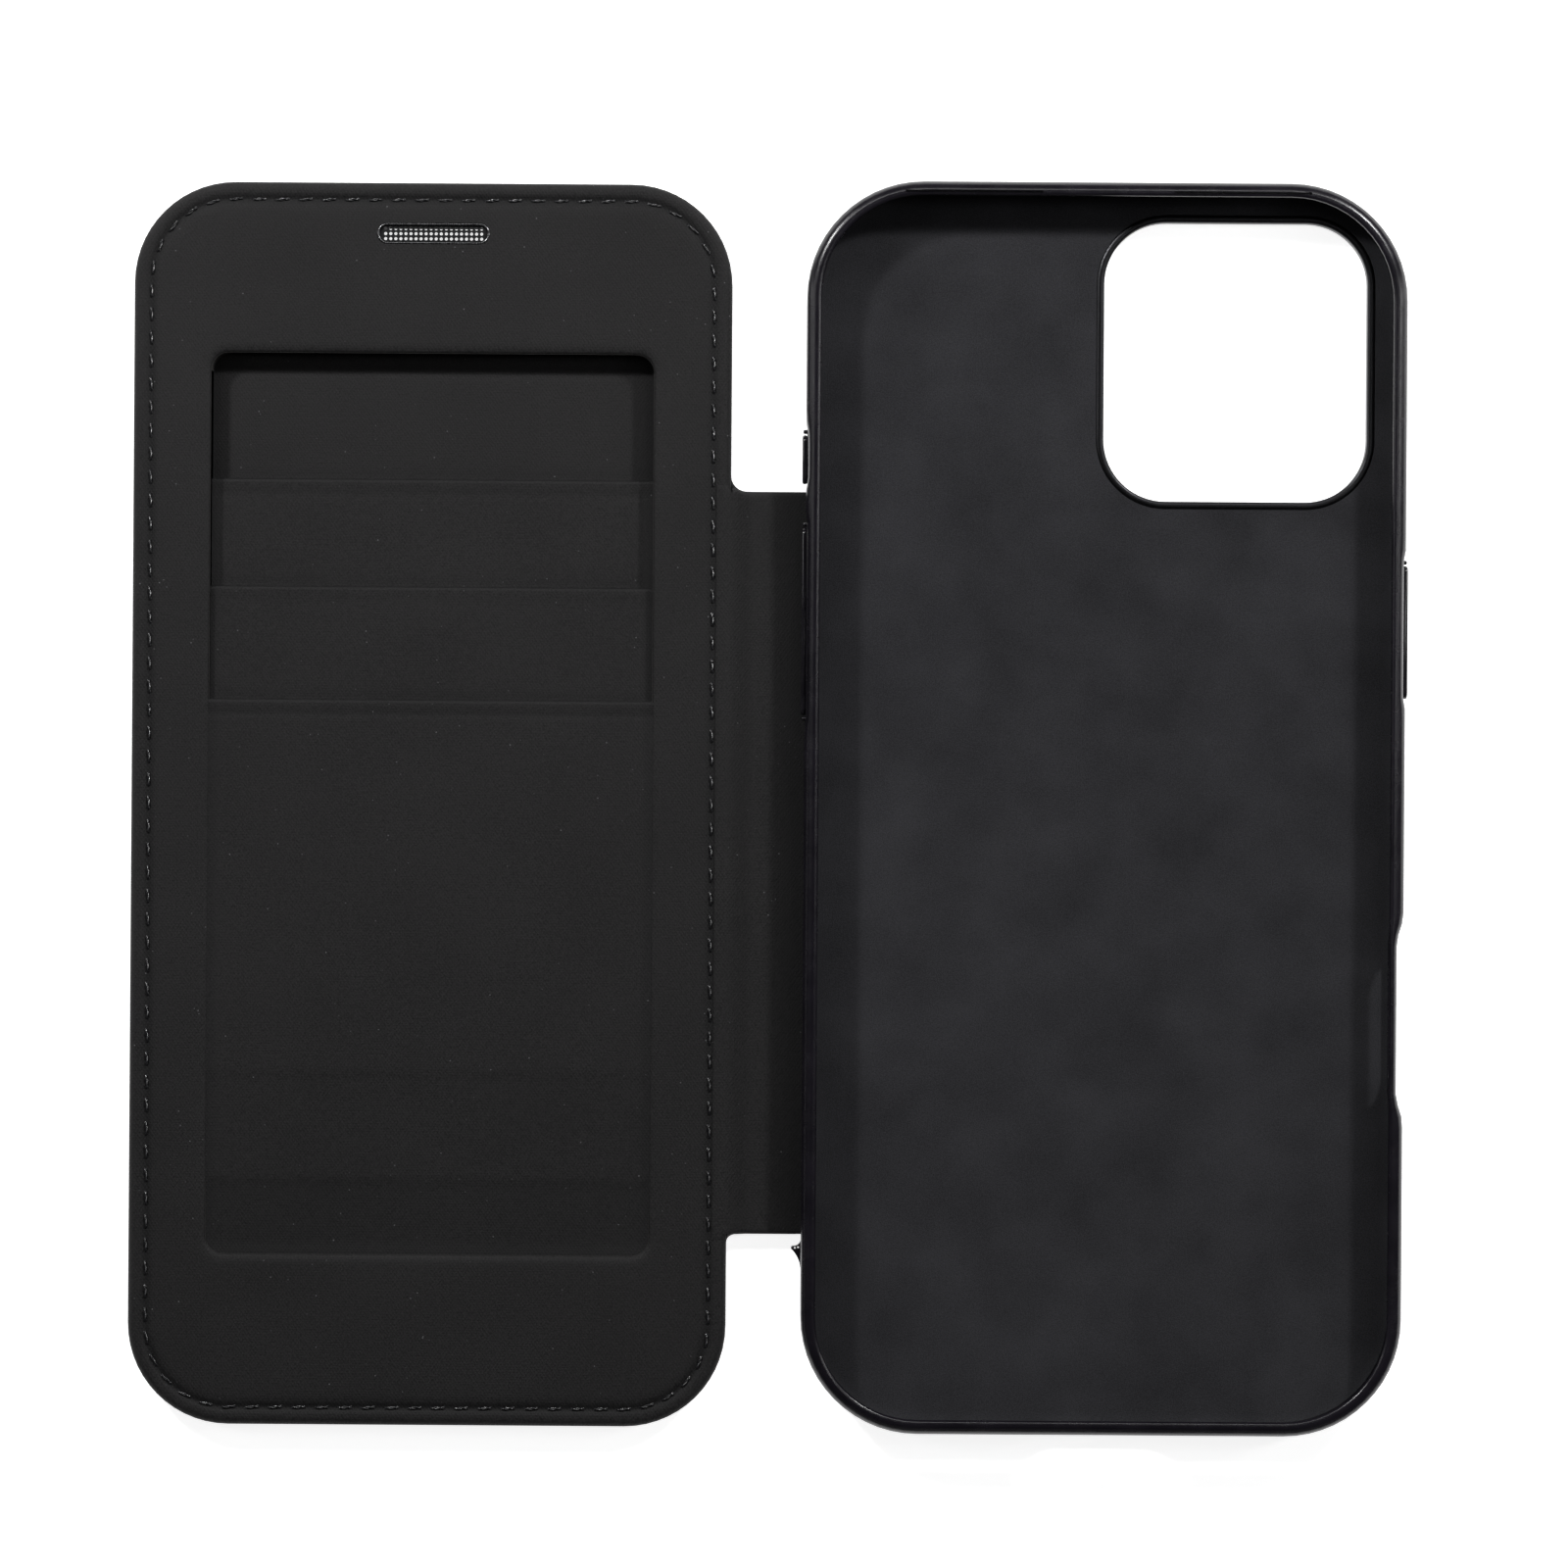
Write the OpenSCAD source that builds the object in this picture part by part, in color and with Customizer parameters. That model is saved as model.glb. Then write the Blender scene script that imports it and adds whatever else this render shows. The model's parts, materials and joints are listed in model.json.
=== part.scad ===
// Wallet case for a slim phone: a moulded tray that grips the phone, a flat spine
// strip with a crease on each side, and a padded cover with an earpiece grille and a
// staircase of three card pockets. Drawn opened flat, lying on its back.
// +X points away from the cover, +Y to the top of the phone, +Z out of the tray.

/* [Tray] */
// Width of the tray over its walls
case_w = 77; // [74:0.5:80]
// Length of the tray over its walls
case_l = 160.6; // [156:0.2:165]
// Height of the tray from its back to the top of the lip
case_h = 8.5; // [8:0.1:10]
// Corner radius of the tray in plan
case_r = 15; // [12:0.5:18]
// Thickness of the bumper wall
wall_t = 1.1; // [1:0.05:1.4]
// How far the lip reaches in over the phone
lip_reach = 0.8; // [0.5:0.1:1.2]
// Height of the lip
lip_h = 0.8; // [0.6:0.1:1.2]

/* [Back layers] */
// Thickness of the outer skin on the back
back_skin_t = 0.6; // [0.4:0.05:0.8]
// Thickness of the stiff back plate
plate_t = 1.15; // [1.1:0.05:1.5]
// Thickness of the soft lining under the phone
tray_lining_t = 0.3; // [0.2:0.05:0.4]

/* [Cover] */
// Width of the cover
cover_w = 77; // [74:0.5:80]
// Length of the cover
cover_l = 160; // [156:0.5:164]
// Corner radius of the cover in plan
cover_r = 13; // [10:0.5:16]
// Thickness of the outer skin
cover_skin_t = 0.5; // [0.4:0.05:0.7]
// Width of the skin where it turns up round the edge
turned_edge = 1.2; // [1:0.1:1.6]
// Thickness of the inner lining
cover_lining_t = 0.35; // [0.3:0.05:0.5]

/* [Card pockets] */
// Width of the pocket recess
recess_w = 57; // [56.5:0.5:60]
// Length of the pocket recess
recess_l = 116; // [114:0.5:120]
// Corner radius of the recess
recess_r = 2.3; // [1:0.1:4]
// Clear height of one pocket
card_gap = 0.8; // [0.8:0.05:0.9]
// Thickness of a pocket panel
panel_t = 0.25; // [0.2:0.05:0.3]
// Width of the strips that hold the pocket panels apart
rail_w = 1.2; // [0.8:0.1:1.4]

/* [Spine] */
// Width of the spine strip between its two creases
spine_w = 9.3; // [9.3:0.1:10]
// Thickness of the spine strip
spine_t = 0.9; // [0.7:0.1:0.9]
// Upper end of the spine strip, above the middle of the case
spine_top = 40.6; // [30:0.2:41]
// Lower end of the spine strip, below the middle of the case
spine_bottom = 55.2; // [45:0.2:56]
// Height of both creases above the back
crease_z = 1.9; // [1.9:0.05:2]
// Distance from the tray wall to its crease
case_crease_gap = 1.1; // [1.1:0.05:1.4]
// Distance of the cover's crease inside the cover's edge
cover_crease_inset = 0.8; // [0.5:0.05:0.9]

/* [Buttons] */
// How far a button stands out of the wall
button_proud = 0.45; // [0.3:0.05:0.5]
// Height of a button
button_h = 2.44; // [2:0.04:2.6]
// Length of the action button
action_l = 7.2; // [6:0.2:8]
// Length of the volume bar
volume_l = 25.8; // [20:0.2:26]
// Length of the power button
power_l = 18; // [14:0.5:20]

/* [Openings] */
// Width of the camera window
camera_w = 34; // [28:0.5:36]
// Length of the camera window
camera_l = 36; // [28:0.5:38]
// Corner radius of the camera window
camera_r = 8; // [5:0.5:10]
// Width of the earpiece slot
ear_w = 13.8; // [10:0.2:16]
// Height of the earpiece slot
ear_h = 2; // [1.6:0.1:2.6]

/* [Hidden] */
$fn = 64;
past = 1;                       // how far a cutter runs past what it cuts

// across the opened case, left to right
spine_gap = spine_w + case_crease_gap - cover_crease_inset;
total_w = cover_w + spine_gap + case_w + button_proud;
cover_x = (cover_w - total_w) / 2;              // middle of the cover
cover_edge_x = cover_x + cover_w / 2;           // the cover's spine-side edge
cover_crease_x = cover_edge_x - cover_crease_inset;
case_crease_x = cover_crease_x + spine_w;
case_edge_x = case_crease_x + case_crease_gap;  // the tray's spine-side wall
case_x = case_edge_x + case_w / 2;              // middle of the tray

// the spine strip
spine_l = spine_top + spine_bottom;
spine_y = (spine_top - spine_bottom) / 2;
crease_clear = 0.1;             // between the rounded crease and what it turns in
tab_t = spine_t;
tab_x = cover_crease_x - tab_t / 2 - crease_clear;
notch_x = tab_x - 0.1;          // the cover's layers stop here along the spine
notch_clear = 0.3;              // the notch is this much longer than the strip
tab_depth = 5;

// layers of the tray
plate_z = back_skin_t;
tray_lining_z = plate_z + plate_t;
tray_floor_z = tray_lining_z + tray_lining_t;
lip_z = case_h - lip_h;
inner_w = case_w - 2 * wall_t;
inner_l = case_l - 2 * wall_t;
inner_r = case_r - wall_t;
flange = wall_t + lip_reach;    // the wall's foot and its lip reach in this far
back_edge_r = 1.6;
lip_edge_r = 1.2;
rim_groove_r = 0.22;

// the leather tongue of the spine inside the tray
anchor_z = tray_lining_z - spine_t;
anchor_depth = 8;

// buttons and cut-outs in the tray walls
slot_clear = 0.08;              // round a button, in its slot
slot_h = button_h + 2 * slot_clear;
side_z = (tray_floor_z + lip_z) / 2;
action_y = 45;
volume_y = 23.8;
power_y = 23.3;
button_flange_t = 0.3;
flange_margin = 0.6;            // how far a button's flange reaches past its cap
seat_depth = 0.4;               // the flange's seat in the inner face of the wall
seat_margin = 0.75;
touch_y = -26.7;
touch_l = 26.7;
touch_depth = 0.85;
touch_slope = 3.8;
touch_slot_l = 17;
touch_slot_h = 3.2;
bead_y = -55.8;
bead_l = 9.9;
bead_h = 1.6;
bead_proud = 0.2;
port_w = 12.5;
port_h = 4.7;
speaker_w = 13;
speaker_h = 1.5;
speaker_x = 17.5;
lip_slot_l = 17.6;
lip_slot_w = 0.35;
lip_slot_x = 17.2;
lip_slot_inset = 1;
lip_slot_depth = 0.35;

// the cord lug on the spine side: a thin fin with hollow flanks that runs out to a
// rounded tip, in places measured from the wall's face
lug_z = 1.9;
lug_h = 1.2;
lug_root = 0.55;
lug_tip = [-0.98, -56.9];
lug_tip_r = 0.26;
lug_tip_cover = 0.24;
lug_upper_hollow = [-0.95, -55.66];
lug_lower_hollow = [-4.2, -60];
lug_holes = [[-0.74, -56.9], [-0.32, -56.82]];
lug_hole_r = 0.13;

// the camera window, in the corner away from the spine
camera_margin = 3.5;
camera_ring = 1;
camera_x = case_x + inner_w / 2 - camera_margin - camera_w / 2;
camera_y = inner_l / 2 - camera_margin - camera_l / 2;

// steel keepers in the free wall, one near each corner
keeper_l = 16;
keeper_h = 2.6;
keeper_t = 0.5;
keeper_ys = [50, -50];

// layers of the cover
board_t = 0.3;
base_t = 0.2;
board_z = cover_skin_t;
core_z = board_z + board_t;
base_top_z = core_z + base_t;
pocket_step = card_gap + panel_t;
core_top_z = base_top_z + 3 * pocket_step;
cover_t = core_top_z + cover_lining_t;
skin_top_z = cover_t - 0.15;
skin_back_r = 1.2;
skin_front_r = 0.9;
core_w = cover_w - 2 * turned_edge;
core_l = cover_l - 2 * turned_edge;
core_r = cover_r - turned_edge;

// card pockets: each mouth and each closed end, measured up from the middle
mouth_y = [41.9, 28, 13.4];
end_y = [-34.8, -48.7, -57.2];

// the stitched seam near the edge of the lining
seam_inset = 2.3;
thread_w = 0.4;
thread_h = 0.2;
groove_w = 0.6;
groove_depth = 0.25;

// the earpiece grille
ear_y = 73.4;
rim_t = 0.4;
rim_proud = 0.05;
mesh_t = 0.2;
mesh_margin = 1;
mesh_hole_r = 0.21;
mesh_pitch = 0.65;
mesh_columns = 20;
mesh_rows = 3;

// closing magnets in the free edge of the cover
magnet_w = 4;
magnet_l = 14;
magnet_t = 1.4;
magnet_inset = 5.6;
magnet_ys = [-50, 0, 50];

// ---- shared shapes ----

// Rectangle with round corners, centred
module rounded_rect(w, l, r) {
    square([w - 2 * r, l], center = true);
    square([w, l - 2 * r], center = true);
    for (x = [-1, 1], y = [-1, 1])
        translate([x * (w / 2 - r), y * (l / 2 - r)]) circle(r);
}

module rounded_plate(w, l, r, z, t) {
    translate([0, 0, z]) linear_extrude(t) rounded_rect(w, l, r);
}

// Plate with half-round ends, long along X
module slot_plate(w, h, z, t) {
    rounded_plate(w, h, h / 2 - 0.001, z, t);
}

// One wall section swept round a rounded rectangle. In the section x is 0 at the outer
// face and negative inwards, and y is the height.
module swept_ring(w, l, r) {
    for (end = [0, 1]) rotate(180 * end) {
        translate([w / 2, l / 2 - r, 0]) rotate([90, 0, 0])
            linear_extrude(l - 2 * r) children();
        translate([-(w / 2 - r), l / 2, 0]) rotate([90, 0, 90])
            linear_extrude(w - 2 * r) children();
        translate([w / 2 - r, l / 2 - r, 0]) rotate_extrude(angle = 90)
            translate([r, 0]) children();
        translate([-(w / 2 - r), l / 2 - r, 0]) rotate([0, 0, 90])
            rotate_extrude(angle = 90) translate([r, 0]) children();
    }
}

// Outline of a wall of height h, deeper than any wall, with its two outer edges rounded
module soft_edged(h, low_r, high_r) {
    depth = 6;
    translate([-depth, 0]) square([depth - low_r, low_r]);
    translate([-depth, low_r]) square([depth, h - low_r - high_r]);
    translate([-depth, h - high_r]) square([depth - high_r, high_r]);
    translate([-low_r, low_r]) circle(low_r);
    translate([-high_r, h - high_r]) circle(high_r);
}

// Bar along Y with half-round ends, t thick along X and starting at x
module side_bar(x, y, z, l, h, t) {
    translate([x, y, z]) rotate([90, 0, 90])
        linear_extrude(t) rounded_rect(l, h, h / 2 - 0.001);
}

// The spine strip between two heights, with its ends rounded about the creases
module spine_layer(z0, z1) {
    intersection() {
        union() {
            translate([cover_crease_x, spine_y - spine_l / 2, crease_z - spine_t / 2])
                cube([spine_w, spine_l, spine_t]);
            for (x = [cover_crease_x, case_crease_x])
                translate([x, spine_y, crease_z]) rotate([90, 0, 0])
                    cylinder(h = spine_l, d = spine_t, center = true);
        }
        translate([cover_crease_x - spine_t, spine_y - spine_l, z0])
            cube([spine_w + 2 * spine_t, 2 * spine_l, z1 - z0]);
    }
}

// What the cover's layers leave out beside the spine
module spine_notch() {
    translate([notch_x, spine_y - spine_l / 2 - notch_clear, -past])
        cube([cover_w, spine_l + 2 * notch_clear, cover_t + 2 * past]);
}

module camera_hole() {
    translate([camera_x, camera_y, 0])
        rounded_plate(camera_w + 2 * camera_ring, camera_l + 2 * camera_ring,
            camera_r + camera_ring, -past, case_h);
}

module earpiece_hole(margin) {
    translate([cover_x, ear_y, 0])
        slot_plate(ear_w + 2 * margin, ear_h + 2 * margin, -past, cover_t + 2 * past);
}

module magnet_blocks(z, t, extra) {
    for (y = magnet_ys)
        translate([cover_x - cover_w / 2 + magnet_inset, y, z + t / 2])
            cube([magnet_w + extra, magnet_l + extra, t], center = true);
}

module keeper_blocks() {
    for (y = keeper_ys)
        translate([case_x + case_w / 2 - wall_t / 2, y, side_z])
            cube([keeper_t, keeper_l, keeper_h], center = true);
}

// ---- tray ----

module back_skin() {
    color([0.12, 0.12, 0.125]) difference() {
        translate([case_x, 0, 0]) rounded_plate(case_w - 2 * flange,
            case_l - 2 * flange, case_r - flange, 0, back_skin_t);
        camera_hole();
    }
}

module back_plate() {
    color([0.2, 0.2, 0.21]) difference() {
        translate([case_x, 0, 0])
            rounded_plate(inner_w, inner_l, inner_r, plate_z, plate_t);
        camera_hole();
        // rebate for the spine's tongue
        translate([case_edge_x, -spine_bottom, anchor_z])
            cube([wall_t + anchor_depth, spine_l, spine_t + past]);
    }
}

module tray_lining() {
    color([0.16, 0.16, 0.17]) difference() {
        translate([case_x, 0, 0])
            rounded_plate(inner_w, inner_l, inner_r, tray_lining_z, tray_lining_t);
        camera_hole();
    }
}

module wall_section() {
    difference() {
        intersection() {
            soft_edged(case_h, back_edge_r, lip_edge_r);
            union() {
                translate([-flange, 0]) square([flange, back_skin_t]);
                translate([-wall_t, 0]) square([wall_t, case_h]);
                translate([-flange, lip_z]) square([flange, lip_h]);
            }
        }
        translate([-wall_t, case_h]) circle(rim_groove_r);
    }
}

// Slot for a button through a wall, with the seat for its flange.
// side is 1 on the wall away from the spine and -1 on the spine side.
module button_cut(side, y, l) {
    face = case_x + side * case_w / 2;
    translate([face, 0, 0]) scale([side, 1, 1]) {
        side_bar(-wall_t - past, y, side_z, l, slot_h, wall_t + 2 * past);
        side_bar(-wall_t - past, y, side_z, l + 2 * seat_margin,
            slot_h + 2 * seat_margin, seat_depth + past);
    }
}

// Scooped cut-out for the touch control: sloped ends, then a slot through the wall
module touch_cut() {
    face = case_x + case_w / 2;
    translate([face, touch_y, -past]) linear_extrude(case_h + 2 * past) polygon([
        [past, -touch_l / 2], [0, -touch_l / 2],
        [-touch_depth, -touch_l / 2 + touch_slope],
        [-touch_depth, touch_l / 2 - touch_slope],
        [0, touch_l / 2], [past, touch_l / 2]]);
    side_bar(face - wall_t - past, touch_y, side_z, touch_slot_l, touch_slot_h,
        wall_t + 2 * past);
}

// Port and speaker slots through the bottom wall
module bottom_cuts() {
    translate([case_x, past - case_l / 2 + wall_t, side_z]) rotate([90, 0, 0]) {
        slot_plate(port_w, port_h, 0, wall_t + 2 * past);
        for (x = [-speaker_x, speaker_x])
            translate([x, 0, 0]) slot_plate(speaker_w, speaker_h, 0, wall_t + 2 * past);
    }
}

module lip_slots() {
    for (x = [-lip_slot_x, lip_slot_x])
        translate([case_x + x, case_l / 2 - lip_slot_inset, case_h])
            cube([lip_slot_l, lip_slot_w, 2 * lip_slot_depth], center = true);
}

// Where a hollow flank of the lug meets its tip
function lug_shoulder(hollow) =
    lug_tip + lug_tip_cover * (hollow - lug_tip) / norm(hollow - lug_tip);

module lug_hollow(hollow) {
    translate([hollow[0], hollow[1], -past])
        cylinder(h = lug_h + 2 * past, r = norm(hollow - lug_tip) - lug_tip_cover);
}

module cord_lug() {
    translate([case_edge_x, 0, lug_z]) difference() {
        union() {
            difference() {
                linear_extrude(lug_h) polygon([
                    [lug_root, lug_upper_hollow[1]], [0, lug_upper_hollow[1]],
                    lug_shoulder(lug_upper_hollow), lug_shoulder(lug_lower_hollow),
                    [0, lug_lower_hollow[1]], [lug_root, lug_lower_hollow[1]]]);
                lug_hollow(lug_upper_hollow);
                lug_hollow(lug_lower_hollow);
            }
            translate([lug_tip[0], lug_tip[1], 0]) cylinder(h = lug_h, r = lug_tip_r);
        }
        for (hole = lug_holes)
            translate([hole[0], hole[1], -past])
                cylinder(h = lug_h + 2 * past, r = lug_hole_r);
    }
}

module bumper_frame() {
    color([0.07, 0.07, 0.075]) {
        difference() {
            union() {
                translate([case_x, 0, 0]) swept_ring(case_w, case_l, case_r)
                    wall_section();
                side_bar(case_x + case_w / 2 - wall_t / 2, bead_y, side_z, bead_l,
                    bead_h, wall_t / 2 + bead_proud);
            }
            button_cut(-1, action_y, action_l);
            button_cut(-1, volume_y, volume_l);
            button_cut(1, power_y, power_l);
            touch_cut();
            bottom_cuts();
            lip_slots();
            keeper_blocks();
            // way in for the spine's tongue
            translate([case_edge_x - past, -spine_bottom, anchor_z])
                cube([wall_t + past, spine_l, crease_z + spine_t / 2 - anchor_z]);
        }
        cord_lug();
    }
}

module camera_frame() {
    color([0.3, 0.3, 0.32]) translate([camera_x, camera_y, 0]) difference() {
        rounded_plate(camera_w + 2 * camera_ring, camera_l + 2 * camera_ring,
            camera_r + camera_ring, 0, tray_floor_z);
        rounded_plate(camera_w, camera_l, camera_r, -past, case_h);
    }
}

// Tongue of the spine: level with the strip outside the wall, then stepped down
// through the wall into the back plate
module spine_anchor() {
    start = case_crease_x + spine_t / 2 + crease_clear;
    inside = case_edge_x + wall_t;
    top = crease_z + spine_t / 2;
    color([0.13, 0.13, 0.135])
        translate([0, spine_top, 0]) rotate([90, 0, 0]) linear_extrude(spine_l) polygon([
            [start, top - spine_t], [start, top], [case_edge_x + wall_t / 2, top],
            [inside, anchor_z + spine_t], [inside + anchor_depth, anchor_z + spine_t],
            [inside + anchor_depth, anchor_z], [case_edge_x + wall_t / 2, anchor_z]]);
}

module keeper_strips() {
    color([0.6, 0.6, 0.62]) keeper_blocks();
}

// ---- buttons ----

// Cap that shows outside the wall and the flange that keeps it in
module button(side, y, l) {
    face = case_x + side * case_w / 2;
    seat = wall_t - seat_depth + 0.03;
    color([0.1, 0.1, 0.11]) translate([face, 0, 0]) scale([side, 1, 1]) {
        side_bar(-seat - button_flange_t / 2, y, side_z, l - 2 * slot_clear, button_h,
            seat + button_flange_t / 2 + button_proud);
        side_bar(-seat - button_flange_t, y, side_z, l + 2 * flange_margin,
            slot_h + 2 * flange_margin, button_flange_t);
    }
}

module action_button() {
    button(-1, action_y, action_l);
}

module volume_button() {
    button(-1, volume_y, volume_l);
}

module power_button() {
    button(1, power_y, power_l);
}

// ---- spine ----

// Lower, middle and upper layers of the strip
spine_zs = [crease_z - spine_t / 2, crease_z - spine_t / 9, crease_z + spine_t / 9,
    crease_z + spine_t / 2];

module spine_skin() {
    color([0.11, 0.11, 0.115]) spine_layer(spine_zs[0], spine_zs[1]);
}

module spine_tape() {
    color([0.45, 0.45, 0.45]) spine_layer(spine_zs[1], spine_zs[2]);
}

module spine_lining() {
    color([0.14, 0.14, 0.145]) spine_layer(spine_zs[2], spine_zs[3]);
}

// ---- cover ----

module cover_skin() {
    color([0.11, 0.11, 0.115]) difference() {
        translate([cover_x, 0, 0]) {
            swept_ring(cover_w, cover_l, cover_r) intersection() {
                soft_edged(skin_top_z, skin_back_r, skin_front_r);
                translate([-turned_edge, 0]) square([turned_edge, skin_top_z]);
            }
            rounded_plate(core_w, core_l, core_r, 0, cover_skin_t);
        }
        earpiece_hole(0);
        spine_notch();
    }
}

module cover_board() {
    color([0.35, 0.33, 0.3]) difference() {
        translate([cover_x, 0, 0]) rounded_plate(core_w, core_l, core_r, board_z, board_t);
        earpiece_hole(0);
        spine_notch();
    }
}

module cover_hinge_tab() {
    color([0.13, 0.13, 0.135])
        translate([tab_x - tab_depth, -spine_bottom, crease_z - tab_t / 2])
            cube([tab_depth, spine_l, tab_t]);
}

module cover_core() {
    color([0.25, 0.25, 0.25]) difference() {
        translate([cover_x, 0, 0]) difference() {
            rounded_plate(core_w, core_l, core_r, core_z, core_top_z - core_z);
            rounded_plate(recess_w, recess_l, recess_r, 0, cover_t);
        }
        earpiece_hole(0);
        // seat of the grille, under the lining
        translate([cover_x, ear_y, 0]) slot_plate(ear_w + 2 * mesh_margin,
            ear_h + 2 * mesh_margin, core_top_z - mesh_t, cover_t);
        magnet_blocks(core_top_z - magnet_t, magnet_t + past, 0.1);
        spine_notch();
        translate([tab_x - tab_depth, -spine_bottom, crease_z - tab_t / 2])
            cube([cover_w, spine_l, tab_t]);
    }
}

module cover_lining() {
    color([0.13, 0.13, 0.135]) difference() {
        translate([cover_x, 0, 0]) difference() {
            rounded_plate(core_w, core_l, core_r, core_top_z, cover_lining_t);
            rounded_plate(recess_w, recess_l, recess_r, 0, cover_t + past);
            seam_ring(groove_w, cover_t - groove_depth, cover_t + past);
        }
        earpiece_hole(rim_t);
        spine_notch();
    }
}

// Band that follows the cover's edge, from height z0 to z1
module seam_ring(width, z0, z1) {
    outer = seam_inset - width / 2;
    inner = seam_inset + width / 2;
    difference() {
        rounded_plate(cover_w - 2 * outer, cover_l - 2 * outer, cover_r - outer,
            z0, z1 - z0);
        rounded_plate(cover_w - 2 * inner, cover_l - 2 * inner, cover_r - inner,
            z0 - past, z1 - z0 + 2 * past);
    }
}

module cover_seam() {
    z0 = cover_t - groove_depth;
    color([0.03, 0.03, 0.03]) translate([cover_x, 0, 0])
        seam_ring(thread_w, z0, z0 + thread_h);
}

module cover_magnets() {
    color([0.7, 0.7, 0.72]) magnet_blocks(core_top_z - magnet_t, magnet_t, 0);
}

// ---- earpiece grille ----

module grille_mesh() {
    color([0.55, 0.55, 0.56]) translate([cover_x, ear_y, 0]) difference() {
        slot_plate(ear_w + 2 * mesh_margin, ear_h + 2 * mesh_margin,
            core_top_z - mesh_t, mesh_t);
        for (column = [0 : mesh_columns - 1], row = [0 : mesh_rows - 1])
            translate([(column - (mesh_columns - 1) / 2) * mesh_pitch,
                (row - (mesh_rows - 1) / 2) * mesh_pitch, 0])
                cylinder(h = cover_t + past, r = mesh_hole_r, $fn = 8);
    }
}

module grille_rim() {
    color([0.5, 0.5, 0.51]) translate([cover_x, ear_y, 0]) difference() {
        slot_plate(ear_w + 2 * rim_t, ear_h + 2 * rim_t, core_top_z,
            cover_lining_t + rim_proud);
        slot_plate(ear_w, ear_h, 0, cover_t + past);
    }
}

// ---- card pockets ----

module pocket_base() {
    color([0.12, 0.12, 0.125]) translate([cover_x, 0, 0])
        rounded_plate(recess_w, recess_l, recess_r, core_z, base_t);
}

// What lies in the recess below height y, from z up
module recess_part(y, z, t) {
    intersection() {
        rounded_plate(recess_w, recess_l, recess_r, z, t);
        translate([-recess_w, -recess_l, z - past])
            cube([2 * recess_w, recess_l + y, t + 2 * past]);
    }
}

// Front of pocket n; pocket 0 lies deepest
module pocket_panel(n) {
    color([0.12, 0.12, 0.125]) translate([cover_x, 0, 0])
        recess_part(mouth_y[n], base_top_z + n * pocket_step + card_gap, panel_t);
}

// U-shaped strip round the two sides and the closed end of pocket n
module pocket_spacer(n) {
    z = base_top_z + n * pocket_step;
    color([0.22, 0.22, 0.22]) translate([cover_x, 0, 0]) difference() {
        recess_part(mouth_y[n], z, card_gap);
        translate([-recess_w / 2 + rail_w, end_y[n], z - past])
            cube([recess_w - 2 * rail_w, recess_l, card_gap + 2 * past]);
    }
}

module pocket_panel_1() { pocket_panel(0); }
module pocket_panel_2() { pocket_panel(1); }
module pocket_panel_3() { pocket_panel(2); }
module pocket_spacer_1() { pocket_spacer(0); }
module pocket_spacer_2() { pocket_spacer(1); }
module pocket_spacer_3() { pocket_spacer(2); }

back_skin();
back_plate();
tray_lining();
bumper_frame();
camera_frame();
spine_anchor();
keeper_strips();
action_button();
volume_button();
power_button();
spine_skin();
spine_tape();
spine_lining();
cover_skin();
cover_board();
cover_core();
cover_lining();
cover_hinge_tab();
cover_seam();
cover_magnets();
grille_mesh();
grille_rim();
pocket_base();
pocket_panel_1();
pocket_panel_2();
pocket_panel_3();
pocket_spacer_1();
pocket_spacer_2();
pocket_spacer_3();
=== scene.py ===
"""The looks of a phone wallet case, opened flat: leather cover with stitched edge and
card pockets, soft spine, glossy bumper tray with its buttons and microfibre bed."""

import json
import math
import random

import bmesh
import bpy
import numpy as np
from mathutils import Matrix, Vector


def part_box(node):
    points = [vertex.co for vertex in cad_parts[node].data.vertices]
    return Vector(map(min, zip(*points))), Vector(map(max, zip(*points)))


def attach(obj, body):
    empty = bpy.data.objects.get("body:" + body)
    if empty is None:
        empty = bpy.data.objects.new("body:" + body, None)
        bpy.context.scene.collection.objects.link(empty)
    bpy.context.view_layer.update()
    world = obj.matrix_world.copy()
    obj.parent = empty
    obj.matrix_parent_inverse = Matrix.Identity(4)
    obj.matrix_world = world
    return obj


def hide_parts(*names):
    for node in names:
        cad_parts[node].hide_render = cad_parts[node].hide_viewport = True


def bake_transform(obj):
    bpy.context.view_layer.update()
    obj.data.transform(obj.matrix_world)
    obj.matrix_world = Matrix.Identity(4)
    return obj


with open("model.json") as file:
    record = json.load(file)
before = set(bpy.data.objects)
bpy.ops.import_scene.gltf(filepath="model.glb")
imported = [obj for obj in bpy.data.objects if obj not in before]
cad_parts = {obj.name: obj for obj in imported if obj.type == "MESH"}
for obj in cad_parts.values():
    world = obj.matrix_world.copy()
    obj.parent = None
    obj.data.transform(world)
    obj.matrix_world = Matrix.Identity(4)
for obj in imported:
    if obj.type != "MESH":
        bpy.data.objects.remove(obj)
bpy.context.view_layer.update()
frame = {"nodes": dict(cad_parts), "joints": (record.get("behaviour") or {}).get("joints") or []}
random.seed(7)

MM = 0.001


def mm_box(node):
    """A CAD node's lowest and highest corner, in millimetres."""
    low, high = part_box(node)
    return [c / MM for c in low], [c / MM for c in high]


def plan_of(node):
    """A CAD node's middle x and y, width and length in millimetres."""
    low, high = mm_box(node)
    return ((low[0] + high[0]) / 2, (low[1] + high[1]) / 2,
            high[0] - low[0], high[1] - low[1])


# ---------------------------------------------------------------- places, from the frame
JOINTS = {j["name"]: j for j in frame["joints"]}
COVER_X, _, COVER_W, COVER_L = plan_of("cover_skin")
COVER_EDGE = mm_box("cover_skin")[1][0]
COVER_R = 13
COVER_TOP = mm_box("cover_lining")[1][2]

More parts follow.
